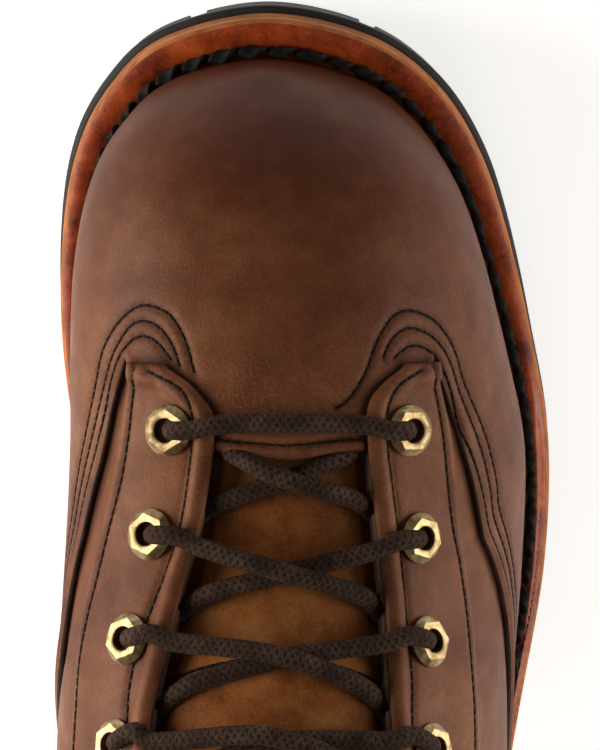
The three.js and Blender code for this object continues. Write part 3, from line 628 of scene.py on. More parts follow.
def leatherFinish(name, look, roughness=0.44, wrinkles=0.95, pull=0.4):
    f = Finish(name, Specular_IOR_Level=0.1, Coat_Roughness=0.34, Coat_IOR=1.3)
    patches = f.noise(look["patches"], 3, 0.55)
    clouds = f.noise(look["patches"] / 5, 4, 0.6)
    speckle = f.noise(look["speckle"], 3, 0.7)
    tone = patches * 0.46 + clouds * 0.32 + speckle * 0.22
    colour = f.ramp(tone, [(0.36, look["dark"]), (0.50, look["middle"]), (0.65, look["light"])])
    # fine wrinkles run across the foot where the vamp bends, and lighter in patches elsewhere
    push = f.node("VectorMath", {"operation": "SCALE"},
                  {0: f.node("TexNoise", {}, {"Vector": f.place, "Scale": 1 / (7 * mm), "Detail": 3}, 1),
                   "Scale": 3.0 * mm})
    bent = f.node("VectorMath", {"operation": "ADD"}, {0: f.stretched(1.0, 0.42, 0.8), 1: push})
    coarse, fine = [f.cells(size, bent).step(0.0, soft) for size, soft in zip(look["wrinkles"], (0.10, 0.15))]
    across = (f.axis("X") * (1 / look["bendWidth"])).size().step(1.25, 0.3)
    along = ((f.axis("Y") - look["bendAt"]) * (1 / look["bendReach"])).size().step(1.2, 0.2)
    where = f.noise(24 * mm, 3, 0.55).step(0.48, 0.66)
    lines = ((1 - coarse) * 0.65 + (1 - fine) * 0.5) * (across * along * 0.75 + where * 0.35) * wrinkles
    colour = f.mixed(lines * 0.8, colour, look["light"])
    # painted shade: the toe is darkened towards its tip, where little light falls on it from the front
    atToe = f.axis("Y").step(look["toeFrom"], look["toeTo"])
    colour = f.mixed(atToe * look["toeShadeDark"], colour, look["toeShade"])
    # painted shade: the leather is darkened in the stitch rows' grooves and beside the edges, where shade
    # falls
    seam = f.node("Attribute", {"attribute_name": "seam"}, {}, "Fac")
    colour = f.mixed(seam * look["seamShadeDark"], colour, look["seam"])
    grain = f.noise(look["grain"], 3, 0.6)
    pores = f.cells(look["pores"]).step(0.0, 0.25)
    normal = f.bumped(pores * 0.18 + grain * 0.5 - lines * 0.7, 0.16 * mm, 0.7)
    gloss = roughness - 0.16 * (patches - 0.5) + speckle * 0.08 + lines * 0.1 + seam * 0.2
    return f.put(Base_Color=colour, Roughness=gloss, Normal=normal, Coat_Weight=(clouds * 0.25 + 0.02) * pull)


def threeTones(look, dark, middle, light, **more):
    return dict(look, dark=dark, middle=middle, light=light, **more)


upperLeather = leatherFinish("upperLeather", leatherLook)
tongueLook = threeTones(leatherLook, (0.110, 0.030, 0.007), (0.230, 0.072, 0.017), (0.370, 0.145, 0.040),
                        patches=24 * mm)
tongueLeather = leatherFinish("tongueLeather", tongueLook, roughness=0.56, wrinkles=0.35, pull=0.15)
liningLook = threeTones(leatherLook, (0.20, 0.115, 0.060), (0.27, 0.165, 0.095), (0.33, 0.22, 0.14))
liningLeather = leatherFinish("liningLeather", liningLook, roughness=0.7, wrinkles=0.2, pull=0.0)
insoleLook = threeTones(liningLook, (0.24, 0.14, 0.075), (0.32, 0.20, 0.115), (0.40, 0.27, 0.17))
insoleLeather = leatherFinish("insoleLeather", insoleLook, roughness=0.72, wrinkles=0.1, pull=0.0)

f = Finish("cutEdge", Roughness=0.8)
fibres = f.noise(0.35 * mm, 4, 0.7)
colour = f.ramp(fibres * 0.6 + f.noise(6 * mm, 2, 0.5) * 0.4,
                [(0.35, (0.010, 0.004, 0.003)), (0.65, (0.085, 0.028, 0.014))])
cutEdge = f.put(Base_Color=colour, Normal=f.bumped(fibres, 0.25 * mm, 0.9))


def threadFinish(name, dark, pale, twists):
    # the twist runs round each stitch
    f = Finish(name, Roughness=0.8, Specular_IOR_Level=0.12)
    lines = (f.uv("Y") * twists + f.uv("X") * (4 * math.pi)).sine() * 0.5 + 0.5
    fibres = f.noise(0.12 * mm, 3, 0.6)
    colour = f.mixed(lines * 0.6 + fibres * 0.4, dark, pale)
    return f.put(Base_Color=colour, Normal=f.bumped(lines + fibres * 0.3, 0.12 * mm, 0.7))


seamThread = threadFinish("seamThread", (0.006, 0.0035, 0.0025), (0.030, 0.016, 0.010), 18)
waxedThread = threadFinish("waxedThread", (0.003, 0.003, 0.003), (0.026, 0.023, 0.021), 14)

f = Finish("weltTopLeather", Specular_IOR_Level=0.3, Coat_Roughness=0.3)
patches = f.noise(14 * mm, 4, 0.6)
fibres = f.noise(0.7 * mm, 4, 0.65)
scuffs = f.noise(4 * mm, 3, 0.6, bend=0.8)
colour = f.ramp(patches * 0.5 + scuffs * 0.3 + fibres * 0.2,
                [(0.38, (0.075, 0.0105, 0.0025)), (0.50, (0.27, 0.037, 0.006)), (0.64, (0.48, 0.095, 0.018))])
weltTopLeather = f.put(Base_Color=colour, Roughness=0.50 - patches * 0.2, Coat_Weight=patches * 0.2,
                       Normal=f.bumped(scuffs * 0.6 + fibres * 0.4, 0.2 * mm, 0.7))


def layeredEdgeFinish(name, dark, pale):
    # the trimmed edge of leather layers: fine lines that follow the sole
    f = Finish(name, Roughness=0.66, Specular_IOR_Level=0.2)
    lines = f.noise(0.5 * mm, 3, 0.6, f.stretched(14, 14, 1.0))
    fibres = f.noise(0.3 * mm, 3, 0.6)
    tone = lines * 0.45 + f.noise(9 * mm, 3, 0.6) * 0.35 + fibres * 0.1 + f.noise(18 * mm, 2, 0.5) * 0.1
    colour = f.ramp(tone, [(0.38, dark), (0.62, pale)])
    return f.put(Base_Color=colour, Normal=f.bumped(lines * 0.7 + fibres * 0.3, 0.25 * mm, 0.8))


weltEdgeLeather = layeredEdgeFinish("weltEdgeLeather", (0.240, 0.068, 0.016), (0.560, 0.195, 0.062))
midsoleEdge = layeredEdgeFinish("midsoleEdge", (0.200, 0.058, 0.015), (0.46, 0.160, 0.050))

f = Finish("soleRubber", Specular_IOR_Level=0.4)
grain = f.noise(0.6 * mm, 3, 0.6)
dust = f.noise(20 * mm, 3, 0.6)
colour = f.mixed(dust * 0.7 + grain * 0.3, (0.006, 0.006, 0.006), (0.026, 0.024, 0.023))
soleRubber = f.put(Base_Color=colour, Roughness=0.62 + grain * 0.25 - dust * 0.1,
                   Normal=f.bumped(grain, 0.15 * mm, 0.6))

f = Finish("eyeletBrass", Metallic=1.0)
tarnish = f.noise(2.2 * mm, 4, 0.65)
scratches = f.noise(0.5 * mm, 3, 0.6, f.stretched(0.3, 1.0, 1.0))
colour = f.ramp(tarnish * 0.75 + scratches * 0.25,
                [(0.34, (0.12, 0.075, 0.030)), (0.50, (0.33, 0.235, 0.115)), (0.68, (0.58, 0.46, 0.27))])
eyeletBrass = f.put(Base_Color=colour, Roughness=0.30 + tarnish * 0.22,
                    Normal=f.bumped(scratches * 0.5 + tarnish * 0.5, 0.05 * mm, 0.5))

# woven lace: strands cross round the tube, with a little fuzz
f = Finish("laceWeave", Roughness=0.85, Specular_IOR_Level=0.1, Sheen_Weight=0.05, Sheen_Roughness=0.5,
           Sheen_Tint=(0.6, 0.35, 0.22, 1))
around = f.uv("X") * (2 * math.pi)
along = f.uv("Y") * (2 * math.pi)
stray = f.noise(1.4 * mm, 3, 0.65) * 4.5
weave = (around * 5 + along * 6.5 + stray).sine().above((around * 5 - along * 6.5 + stray).sine()) * 0.5 + 0.5
fuzz = f.noise(0.22 * mm, 4, 0.75)
hairs = f.noise(0.5 * mm, 3, 0.7, bend=2.5)
# the fuzz and hairs are paler strands, and the palest stop also holds a painted highlight: the fuzz's sheen
colour = f.ramp(weave * 0.10 + fuzz * 0.35 + hairs * 0.35 + f.noise(5 * mm, 2, 0.5) * 0.2,
                [(0.38, (0.0085, 0.0041, 0.0026)), (0.52, (0.028, 0.014, 0.0092)),
                 (0.66, (0.13, 0.085, 0.062))])
laceWeave = f.put(Base_Color=colour, Normal=f.bumped(weave * 0.35 + fuzz * 0.5 + hairs * 0.5, 0.35 * mm, 0.9))
print("finishes: ready")

# Upper

upperSizes = {
    "vampThickness": 1.5 * mm,
    "quarterLevel": -1.0 * mm,
    "facingLevel": 0.95 * mm,
    "ply": 1.4 * mm,
    "liningLevel": -2.1 * mm,
    "liningPly": 1.2 * mm,
    "bead": 5.0 * mm,
    "beadHeight": 1.35 * mm,
    "groove": 0.42 * mm,
    "grooveWidth": 0.95 * mm,
    "dip": 0.6 * mm,
    "dipWidth": 2.2 * mm,
    "lip": 0.45 * mm,
    "collarRoll": 0.5 * mm,
    "seamShadow": 0.85 * mm,
    "edgeShadow": 1.8 * mm,
}

# Stitch rows as (row, share) places read off the photograph, inner side of the foot (-1) and outer side (1)
stitchRows = {
    "vampOuter": {
        -1: [(14.84, 0.832), (15.28, 0.809), (15.58, 0.778), (15.68, 0.748), (15.72, 0.712),
             (15.66, 0.677), (15.48, 0.637), (15.28, 0.606), (15.02, 0.580), (14.58, 0.564)],
        1: [(14.40, 0.898), (14.52, 0.867), (14.86, 0.825), (15.24, 0.793), (15.54, 0.751), (15.64, 0.712),
            (15.60, 0.667), (15.44, 0.614), (15.12, 0.574), (14.66, 0.557)],
    },
    "vampMiddle": {
        -1: [(14.92, 0.800), (15.20, 0.781), (15.42, 0.750), (15.50, 0.713), (15.46, 0.679),
             (15.28, 0.648), (14.98, 0.617), (14.58, 0.598)],
        1: [(15.02, 0.781), (15.26, 0.756), (15.40, 0.714), (15.38, 0.677), (15.24, 0.630), (14.96, 0.595),
            (14.50, 0.576)],
    },
    "vampInner": {
        -1: [(15.00, 0.781), (15.14, 0.761), (15.26, 0.736), (15.30, 0.706), (15.22, 0.673),
             (15.00, 0.645), (14.70, 0.628), (14.36, 0.619)],
        1: [(15.02, 0.754), (15.12, 0.729), (15.18, 0.697), (15.12, 0.663), (14.96, 0.632), (14.64, 0.612),
            (14.20, 0.599)],
    },
}
rowDistances = {"vampOuter": 9.8 * mm, "vampMiddle": 6.6 * mm, "vampInner": 3.3 * mm}
facingStitches = {
    "outer": {
        -1: [(14.90, 0.705), (14.48, 0.701), (14.10, 0.701), (13.54, 0.695), (12.94, 0.676),
             (12.46, 0.660), (12.02, 0.640), (11.60, 0.625), (11.04, 0.622), (10, 0.615), (9, .590),
             (7, .585), (4, .605), (1.12, .62)],
        1: [(14.90, 0.665), (14.42, 0.660), (13.78, 0.650), (13.08, 0.624), (12.70, 0.601), (12.30, 0.580),
            (11.92, 0.569), (11.46, 0.570), (10.5, 0.583), (9, .560), (7, .580), (4, .605), (1.12, .62)],
    },
    "inner": {
        -1: [(14.86, 0.735), (14.74, 0.786), (14.60, 0.819), (14.36, 0.838), (14.00, 0.842),
             (13.16, 0.836), (12.62, 0.824), (12.00, 0.796), (11.48, 0.769), (11.00, 0.754),
             (10.44, 0.753), (9, .748), (7, .757), (4, .765), (1.12, .775)],
        1: [(14.86, 0.696), (14.74, 0.745), (14.58, 0.777), (14.32, 0.793), (13.90, 0.794), (13.50, 0.781),
            (12.70, 0.752), (11.92, 0.739), (11.12, 0.739), (10.44, 0.746), (9, .737), (7, .755),
            (4, .765), (1.12, .775)],
    },
}


def dots(p, q):
    return np.sum(p * q, axis=1)


def besideEdge(places, side, distance):
    # the same line moved sideways over the form, towards its foot where the distance is positive
    s, a = np.array(places, float).T
    d = 0.01
    alongRow = (outside(s + d, a, side) - outside(s - d, a, side)) / (2 * d)
    alongShare = outside(s, a + d, side) - outside(s, np.maximum(a - d, 0), side)
    alongShare /= (d + np.minimum(a, d))[:, None]
    line = unit(np.gradient(outside(s, a, side), axis=0))
    across = unit(np.cross(normalAt(s, a, side), line))
    across *= np.where(dots(across, alongShare) > 0, -1, 1)[:, None]
    goal = across * distance
    aa, ab, bb = dots(alongRow, alongRow), dots(alongRow, alongShare), dots(alongShare, alongShare)
    ga, gb = dots(goal, alongRow), dots(goal, alongShare)
    flat = aa * bb - ab * ab
    share = np.maximum(0.012, a + (gb * aa - ga * ab) / flat)
    return np.stack([s + (ga * bb - gb * ab) / flat, share], axis=1)


def vampRow(name, side):
    # the photograph's places round the notch, then beside the vamp's edge down to the welt
    front = stitchRows[name][side]
    backRows = np.arange(13.9, 9.55, -0.3)
    edge = [(s, float(vampAt(s, side))) for s in backRows]
    lineRows = np.linspace(12, 14.95, 300)
    apart = outside(lineRows, vampAt(lineRows, side), side) - outside(*front[-1], side)
    start = float(np.min(np.linalg.norm(apart, axis=1)))
    fade = np.exp(-(front[-1][0] - backRows) / 0.9)
    back = besideEdge(edge, side, rowDistances[name] + (start - rowDistances[name]) * fade[:, None])
    keep = [tuple(p) for p in back if p[0] < front[-1][0] - 0.12 and p[1] > 0.02]
    return front + keep


def fineLine(places, side):
    return pathPoints(places, side, 0.0, 0.4 * mm)[0]


def dense(line, spacing=0.5 * mm):
    return evenPoints(line, int(runAlong(line)[-1] / spacing) + 2)


def vampEdge(side, count, lift=0.0):
    s = np.linspace(9.3, 14.95, count)
    return s, vampAt(s, side) + lift


def throatPlaces(side):
    # the facing's edge down the throat and over its front end
    s = np.concatenate([np.linspace(collar, 13.6, 60), np.linspace(13.7, facingFront, 30)])
    tip = np.linspace(float(throatAt(facingFront, side)), float(facingAt(facingFront, side)), 60)
    return np.append(s, np.full(60, facingFront)), np.append(throatAt(s, side), tip)

facingLines = {side: [fineLine(places[side], side) for places in facingStitches.values()] for side in (1, -1)}
vampLines = {side: [fineLine(vampRow(k, side), side) for k in stitchRows] for side in (1, -1)}
vampEdgeLine = {side: dense(outside(*vampEdge(side, 200), side)) for side in (1, -1)}
throatLines = {side: dense(outside(*throatPlaces(side), side)) for side in (1, -1)}


def seamShade(bm, lines, edges):
    # stores how near each corner lies to a stitch row or an edge, so that painted shade can darken the
    # leather there
    layer = bm.verts.layers.float.new("seam")
    corners = np.array([v.co for v in bm.verts])
    near = np.maximum(bell(distanceTo(corners, lines), upperSizes["seamShadow"]),
                      bell(distanceTo(corners, edges), upperSizes["edgeShadow"]))
    for v, value in zip(bm.verts, near):
        v[layer] = float(value)
    return bm


# Soft troughs and swellings: place as (row, share), height, reach in x, y, z
quarterFolds = {
    1: [((10.2, 0.46), -1.2 * mm, (0.030, 0.016, 0.012)), ((7.2, 0.40), 0.9 * mm, (0.030, 0.022, 0.014)),
        ((6.0, 0.52), -0.9 * mm, (0.030, 0.014, 0.007)), ((4.6, 0.45), 0.7 * mm, (0.03, 0.03, 0.018)),
        ((8.6, 0.22), 0.6 * mm, (0.03, 0.03, 0.014)), ((2.4, 0.4), -0.5 * mm, (0.03, 0.03, 0.010))],
    -1: [((10.4, 0.48), -1.1 * mm, (0.030, 0.016, 0.012)), ((7.2, 0.42), 0.9 * mm, (0.030, 0.022, 0.014)),
         ((5.8, 0.52), -0.9 * mm, (0.030, 0.014, 0.007)), ((4.4, 0.45), 0.7 * mm, (0.03, 0.03, 0.018)),
         ((9.0, 0.25), 0.6 * mm, (0.03, 0.03, 0.014)), ((2.6, 0.4), -0.5 * mm, (0.03, 0.03, 0.010))],
}
vampFolds = {
    1: [((15.1, 0.93), -0.30 * mm, (0.012, 0.003, 0.02)), ((15.5, 0.90), 0.22 * mm, (0.014, 0.004, 0.02)),
        ((16.9, 0.86), 0.25 * mm, (0.014, 0.012, 0.02))],
    -1: [((15.3, 0.96), -0.25 * mm, (0.014, 0.003, 0.02)), ((16.4, 0.88), -0.3 * mm, (0.010, 0.006, 0.02)),
         ((17.2, 0.78), 0.3 * mm, (0.012, 0.010, 0.02))],
}
# The vamp's band along the throat, in mm: height, distance from its edge, reach
throatBand = [(0.6, 1.3, 1.0), (-0.35, 2.9, 0.7), (0.35, 4.2, 0.9), (-0.45, 5.7, 0.9)]
throatSag = 0.12


def foldSum(bare, folds, side):
    level = np.zeros(len(bare))
    for (row, share), height, reach in folds:
        far = (bare - outside(row, share, side)) / np.array(reach)
        level = level + height * np.exp(-np.sum(far ** 2, axis=1))
    return level


def foldLevel(bare, a, side):
    # the folds fade out at the back, where both quarters meet
    return foldSum(bare, quarterFolds[side], side) * smooth(a / 0.14)


def quarterLevel(s, a, side):
    # how far the quarter's outside lies over the form: facing, bead, stitch grooves and folds
    bare = outside(s, a, side)
    low, high = upperSizes["quarterLevel"], upperSizes["facingLevel"]
    level = low + (high - low) * smooth((a - facingAt(s, side) + 0.042) / 0.040)
    throat = distanceTo(bare, [throatLines[side]])
    inBead = np.clip(throat / upperSizes["bead"], 0, 1)
    level = level + upperSizes["beadHeight"] * np.sin(np.pi * inBead) ** 0.8
    level = level - 0.25 * mm * bell(throat, 0.7 * mm)
    row = distanceTo(bare, facingLines[side])
    level = level - upperSizes["groove"] * bell(row, upperSizes["grooveWidth"])
    # the quarter dips beside the vamp's edge and rolls in at the collar
    level = level - upperSizes["dip"] * bell(distanceTo(bare, [vampEdgeLine[side]]), upperSizes["dipWidth"])
    fromTop = np.linalg.norm(bare - outside(collar, a, side), axis=1)
    return level - upperSizes["collarRoll"] * bell(fromTop, 1.0 * mm) + foldLevel(bare, a, side)


def vampLevel(s, a, side):
    # how far the vamp's outside lies over the form: grooves, the edge's lip, the throat's band and folds
    bare = outside(s, a, side)
    row = distanceTo(bare, vampLines[1] + vampLines[-1])
    level = -upperSizes["groove"] * bell(row, upperSizes["grooveWidth"])
    edge = distanceTo(bare, [vampEdgeLine[side]])
    level = level - 0.35 * mm * bell(edge, 0.8 * mm) + upperSizes["lip"] * bell(edge - 1.7 * mm, 1.1 * mm)
    sagged = vampThroat - throatSag * smooth((a - 0.86) / 0.14)
    throat = np.linalg.norm(bare - outside(sagged, a, side), axis=1)
    band = (a > 0.84) * (s < 14.9)
    for height, at, reach in throatBand:
        level = level + height * mm * bell(throat - at * mm, reach * mm) * band
    return level + foldSum(bare, vampFolds[1], 1) + foldSum(bare, vampFolds[-1], -1)


threadPitch = 2.3 * mm
insideShaft = (0, -0.05, 0.1)
facingPaths = {(side, name): pathPoints(places[side], side, quarterLevel, threadPitch)
               for side in (1, -1) for name, places in facingStitches.items()}
vampPaths = {(side, name): pathPoints(vampRow(name, side), side, vampLevel, threadPitch)
             for side in (1, -1) for name in stitchRows}
row = vampThroat + 0.13
throatRow = [(row, 0.845), (row, 0.88), (row - 0.3 * throatSag, 0.93), (row - 0.55 * throatSag, 0.999)]
throatPaths = [pathPoints(throatRow, side, vampLevel, threadPitch) for side in (1, -1)]


def quarterSheet(side):
    rows = evenRows(collar, facingFront, 230)
    half = 44

    def place(u, w):
        s = picked(rows, w)
        k = np.round(u * 2 * half)
        turn = facingAt(s, side) - 0.045
        a = np.where(k <= half, turn * k / half, turn + (throatAt(s, side) - turn) * (k - half) / half)
        return skin(s, a, side, quarterLevel(s, a, side))

    return facingOut(gridSheet(len(rows) - 1, 2 * half, place), insideShaft)


def quarters():
    bm = bothSides(quarterSheet)
    # painted shade in the facings' stitch grooves and beside the vamp's edge, which lies over the quarter
    edges = [skin(*vampEdge(side, 500, 0.004), side, -upperSizes["vampThickness"]) for side in (1, -1)]
    seamShade(bm, [points for points, normals in facingPaths.values()], edges)
    piece = newObject("quarters", bm, [upperLeather, cutEdge, liningLeather],
                      ("upper", "facing_lateral", "facing_medial"))
    return thickened(piece, upperSizes["ply"], rimSlot=1, backSlot=2)


def liningSheet(side):
    rows = evenRows(collar + 0.02, 13.9, 90)

    def place(u, w):
        s = picked(rows, w)
        a = (throatAt(s, side) - 0.008) * u
        return skin(s, a, side, upperSizes["liningLevel"] + foldLevel(outside(s, a, side), a, side))

    return facingOut(gridSheet(len(rows) - 1, 44, place), insideShaft)


def vampSheet(side):
    slotEnd = 15.0
    front = evenRows(slotEnd, toeRow, 116)
    sideRows = evenRows(9.35, slotEnd, 120, side, 0.3)
    throatRows = evenRows(vampThroat, slotEnd, 32, 1, 0.9)
    half = 54
    slotShare = float(vampAt(slotEnd, side))

    def tipShare(s):
        return slotShare + (0.660 - slotShare) * smooth((s - slotEnd) / 4)

    def levelled(s, a):
        # the throat's edge hangs a little lower in the middle
        sag = throatSag * (1 - smooth((s - vampThroat) / (slotEnd - vampThroat))) * smooth((a - 0.86) / 0.14)
        return skin(s - sag, a, side, vampLevel(s - sag, a, side))

    def sideStrip(u, w):
        s = picked(sideRows, w)
        return levelled(s, vampAt(s, side) * (1 - (1 - u) ** 1.25))

    def frontPart(u, w):
        s = picked(front, w)
        k = np.round(u * 2 * half)
        tip = tipShare(s)
        lower = tip * (1 - (1 - np.minimum(1, k / half)) ** 1.25)
        return levelled(s, np.where(k <= half, lower, tip + (1 - tip) * (k - half) / half))

    def throatPart(u, w):
        s = picked(throatRows, w)
        inner = 0.5 * (facingAt(s, side) + throatAt(s, side))
        inner = inner + (slotShare - inner) * smooth((s - 14.7) / (slotEnd - 14.7))
        return levelled(s, inner + (1 - inner) * u)

    bm = gridSheet(len(sideRows) - 1, half, sideStrip)
    layer = bm.loops.layers.uv.active
    for face in bm.faces:
        # the burnished raw edge
        if min(loop[layer].uv.x for loop in face.loops) > 1 - 1.5 / half:
            face.material_index = 1
    gridSheet(len(front) - 1, 2 * half, frontPart, bm)
    gridSheet(len(throatRows) - 1, half, throatPart, bm)
    return merged(bm, 0.015 * mm)


def vampPiece():
    bm = bothSides(vampSheet)
    bmesh.ops.recalc_face_normals(bm, faces=bm.faces)
    facingOut(bm, (0, 0.04, 0.04))
    # painted shade along the stitch rows and, too, where the facings' front ends lie over it
    edges = [skin(*throatPlaces(side), side, 0.0) for side in (1, -1)]
    seamShade(bm, [points for points, normals in (*vampPaths.values(), *throatPaths)], edges)
    piece = newObject("vamp", bm, [upperLeather, cutEdge], ())
    return thickened(piece, upperSizes["vampThickness"], rimSlot=1)


quarters()
lining = newObject("lining", bothSides(liningSheet), [liningLeather, cutEdge], ())
thickened(lining, upperSizes["liningPly"], rimSlot=1)
vampPiece()
print("upper: made")

# Tongue

tongueSizes = {"level": -4.2 * mm, "thickness": 2.6 * mm, "dip": 2.6 * mm, "seamRow": 11.12,
               "underFacing": 0.3}
# Its soft creases: row, share, height in mm
tongueFolds = [(13.1, 0.97, 0.5), (12.35, 0.90, -0.5), (11.7, 0.96, 0.45), (10.5, 0.93, -0.5),
               (9.6, 0.98, 0.5), (8.3, 0.92, -0.5), (6.4, 0.97, 0.6), (4.7, 0.92, -0.5), (3.0, 0.97, 0.5)]


def tongueSheet(side):
    rows = evenRows(0.12, vampThroat + 0.65, 170, 1, 0.95)

    def place(u, w):
        s = picked(rows, w)
        throat = throatAt(s, side)
        out = facingAt(s, side) + tongueSizes["underFacing"] * (throat - facingAt(s, side))
        # its upper corners are rounded
        out = out + 0.13 * (1 - np.sqrt(1 - np.clip((0.85 - s) / 0.73, 0, 1) ** 2))
        a = out + (1 - out) * u
        underFacing = smooth((throat + 0.015 - a) / 0.03) * smooth((s - 0.25) / 0.9)
        level = tongueSizes["level"] - tongueSizes["dip"] * underFacing
        # the upper part laps over the lower one at the cross seam
        level = level + 0.7 * mm * smooth((tongueSizes["seamRow"] + 0.05 - s) / 0.035)
        for row, share, height in tongueFolds:
            level = level + height * mm * np.exp(-((s - row) / 0.16) ** 2 - ((a - share) / 0.07) ** 2)
        return skin(s, a, side, level - 0.6 * mm * smooth((0.35 - s) / 0.2))

    return gridSheet(len(rows) - 1, 26, place)


def tonguePiece():
    bm = bothSides(tongueSheet)
    bmesh.ops.recalc_face_normals(bm, faces=bm.faces)
    facingOut(bm, (0, -0.06, 0.1))
    piece = newObject("tonguePanel", bm, [tongueLeather, cutEdge], ("tongue",))
    return thickened(piece, tongueSizes["thickness"], rimSlot=1)


tonguePiece()
print("tongue: made")

# Sole

# how far the welt reaches beyond the upper, as a share, by row
reachRows = np.array([
    [0, 0.37, 0.37], [2, 0.37, 0.37], [4, 0.42, 0.40], [5, 0.50, 0.50], [6, 0.60, 0.65], [7, 0.66, 0.72],
    [8, 0.72, 0.74], [9, 0.79, 0.75], [10, 0.84, 0.79], [11, 0.89, 0.86], [13, 0.92, 0.92]])


def footEdge(side, share, extra):
    s = np.linspace(heelRow, toeRow, 420)
    here = outside(s, 0, side)
    ahead = outside(np.minimum(toeRow, s + 0.01), 0, side) - outside(np.maximum(heelRow, s - 0.01), 0, side)
    normal = np.stack([side * ahead[:, 1], -side * ahead[:, 0]], axis=1)
    normal[0], normal[-1] = (0, -1), (0, 1)
    reach = np.interp(s - heelRow, reachRows[:, 0], reachRows[:, 1 if side > 0 else 2])
    reach = share * soleLayers["weltReach"] * reach + extra
    return here[:, :2] + unit(normal) * reach[:, None]


def outline(share, extra, count=380):
    # the closed outline, from the heel along the outer side to the toe and back, evenly spaced
    return evenLoop(np.vstack([footEdge(1, share, extra), footEdge(-1, share, extra)[::-1][1:-1]]), count)


def below(height, drop):
    return lambda y: height(y) - drop


weltTop = lastingPlane
weltBottom = below(weltTop, soleLayers["welt"])
midsoleTop = below(weltBottom, soleLayers["gap"])
midsoleBottom = below(midsoleTop, soleLayers["midsole"])
outsoleTop = below(midsoleBottom, soleLayers["gap"])


def outsoleBottom(y):
    thin, thick = soleLayers["overHeel"], soleLayers["outsole"]
    return outsoleTop(y) - thin - (thick - thin) * smooth((y + 0.19 * length) / (0.2 * length))


def atHeight(loop, height, drop=0.0):
    z = height(loop[:, 1]) if callable(height) else np.full(len(loop), height)
    return np.column_stack([loop, z - drop])


def ring(share, extra, height, drop):
    return atHeight(outline(share, extra * mm), height, drop * mm)


def filled(loop, height, steps):
    # loops that close an outline towards its middle, each corner meeting its partner across the sole
    middle = 0.5 * (loop + loop[-np.arange(len(loop)) % len(loop)])
    return [atHeight(loop + (middle - loop) * t, height) for t in np.linspace(0, 1, steps + 1)[1:]]


# Each profile: share of the welt's reach, mm beyond it, height and mm below that
weltProfile = [(0, -3.2, weltTop, 0.3), (0, -0.2, weltTop, 0.5), (0, 1.3, weltTop, 0.8),
               (0, 2.6, weltTop, 0.1), (0.5, 1.0, weltTop, 0), (1, -2.2, weltTop, 0.05),
               (1, -0.9, weltTop, 0.45), (1, -0.3, weltTop, 0.9), (1, 0, weltTop, 1.4),
               (1, 0, weltBottom, -0.25), (1, -0.4, weltBottom, 0), (0, -3.2, weltBottom, 0)]
midsoleProfile = [(1, -0.5, midsoleTop, 0), (1, 0, midsoleTop, 0.4), (1, 0, midsoleTop, 1.85),
                  (1, -0.35, midsoleTop, 2.1), (1, 0, midsoleTop, 2.35), (1, 0, midsoleBottom, -0.3),
                  (1, -0.5, midsoleBottom, 0)]


def weltPiece():
    bm = loopsSheet([ring(*row) for row in weltProfile], closedAcross=True)
    layer = bm.loops.layers.uv.active
    for face in bm.faces:
        w = sum(loop[layer].uv.y for loop in face.loops) / 4
        face.material_index = 1 if w > 5.5 / 12 else 0
    return newObject("weltRing", welded(bm), [weltTopLeather, weltEdgeLeather], ("welt",))


def midsolePiece():
    flat = outline(1, -0.5 * mm)
    loops = [*filled(flat, below(midsoleTop, 0.1 * mm), 3)[::-1], *[ring(*row) for row in midsoleProfile],
             *filled(flat, midsoleBottom, 3)]
    bm = welded(loopsSheet(loops))
    return newObject("midsoleLayer", bm, [midsoleEdge], ("midsole",))


def blockAt(x, y, turn, sizeX, sizeY, high, low=-30 * mm):
    bm = bmesh.new()
    place = Matrix.Translation((x, y, (low + high) / 2)) @ Matrix.Rotation(turn, 4, "Z") @ Matrix.Diagonal(
        (sizeX, sizeY, high - low, 1))
    bmesh.ops.create_cube(bm, size=1, matrix=place)
    bmesh.ops.bevel(bm, geom=bm.edges[:], offset=0.6 * mm, segments=2, affect="EDGES", profile=0.5,
                    material=-1)
    return bm


def carved(piece, cutters):
    # cuts the blocks out of the piece and keeps the result as its mesh
    holder = bpy.data.collections.new("cutters")
    bpy.context.scene.collection.children.link(holder)
    for k, bm in enumerate(cutters):
        holder.objects.link(bpy.data.objects.new("cutter%d" % k, asMesh(bm, "cutter")))
    cut = piece.modifiers.new("cut", "BOOLEAN")
    cut.operation = "DIFFERENCE"
    cut.operand_type = "COLLECTION"
    cut.collection = holder
    cut.solver = "MANIFOLD"
    graph = bpy.context.evaluated_depsgraph_get()
    mesh = bpy.data.meshes.new_from_object(piece.evaluated_get(graph))
    piece.modifiers.clear()
    piece.data = mesh
    for one in list(holder.objects):
        bpy.data.objects.remove(one)
    bpy.data.collections.remove(holder)
    return piece


def edgeGrooves(first, last, top, inset=0.0):
    # blocks for the grooves between the edge's lugs, each up to top(y)
    loop = outline(1, 0.5 * mm - inset, 900)
    pitch, rim = soleLayers["lugPitch"], soleLayers["rimWidth"]
    cutters = []
    for side, walk in ((1, loop[:450]), (-1, loop[450:][::-1])):
        travelled = 0.5 * pitch
        for b, c in zip(walk, walk[1:]):
            travelled += float(np.linalg.norm(c - b))
            if travelled < pitch:
                continue
            travelled -= pitch
            if not first < c[1] < last:
                continue
            turn = math.atan2(c[1] - b[1], c[0] - b[0]) - math.pi / 2
            x, y = c[0] - side * 0.2 * rim * math.cos(turn), c[1] - side * 0.2 * rim * math.sin(turn)
            cutters.append(blockAt(x, y, turn, 1.8 * rim, soleLayers["lugGroove"], top(y)))
    return cutters


def toeOut(loop):
    # moves the outline outwards round the toe only
    ahead = np.roll(loop, -1, axis=0) - np.roll(loop, 1, axis=0)
    normal = unit(np.column_stack([ahead[:, 1], -ahead[:, 0]]))
    out = soleLayers["toeOut"] * smooth((loop[:, 1] - 0.22 * length) / (0.2 * length))
    return loop + normal * out[:, None]


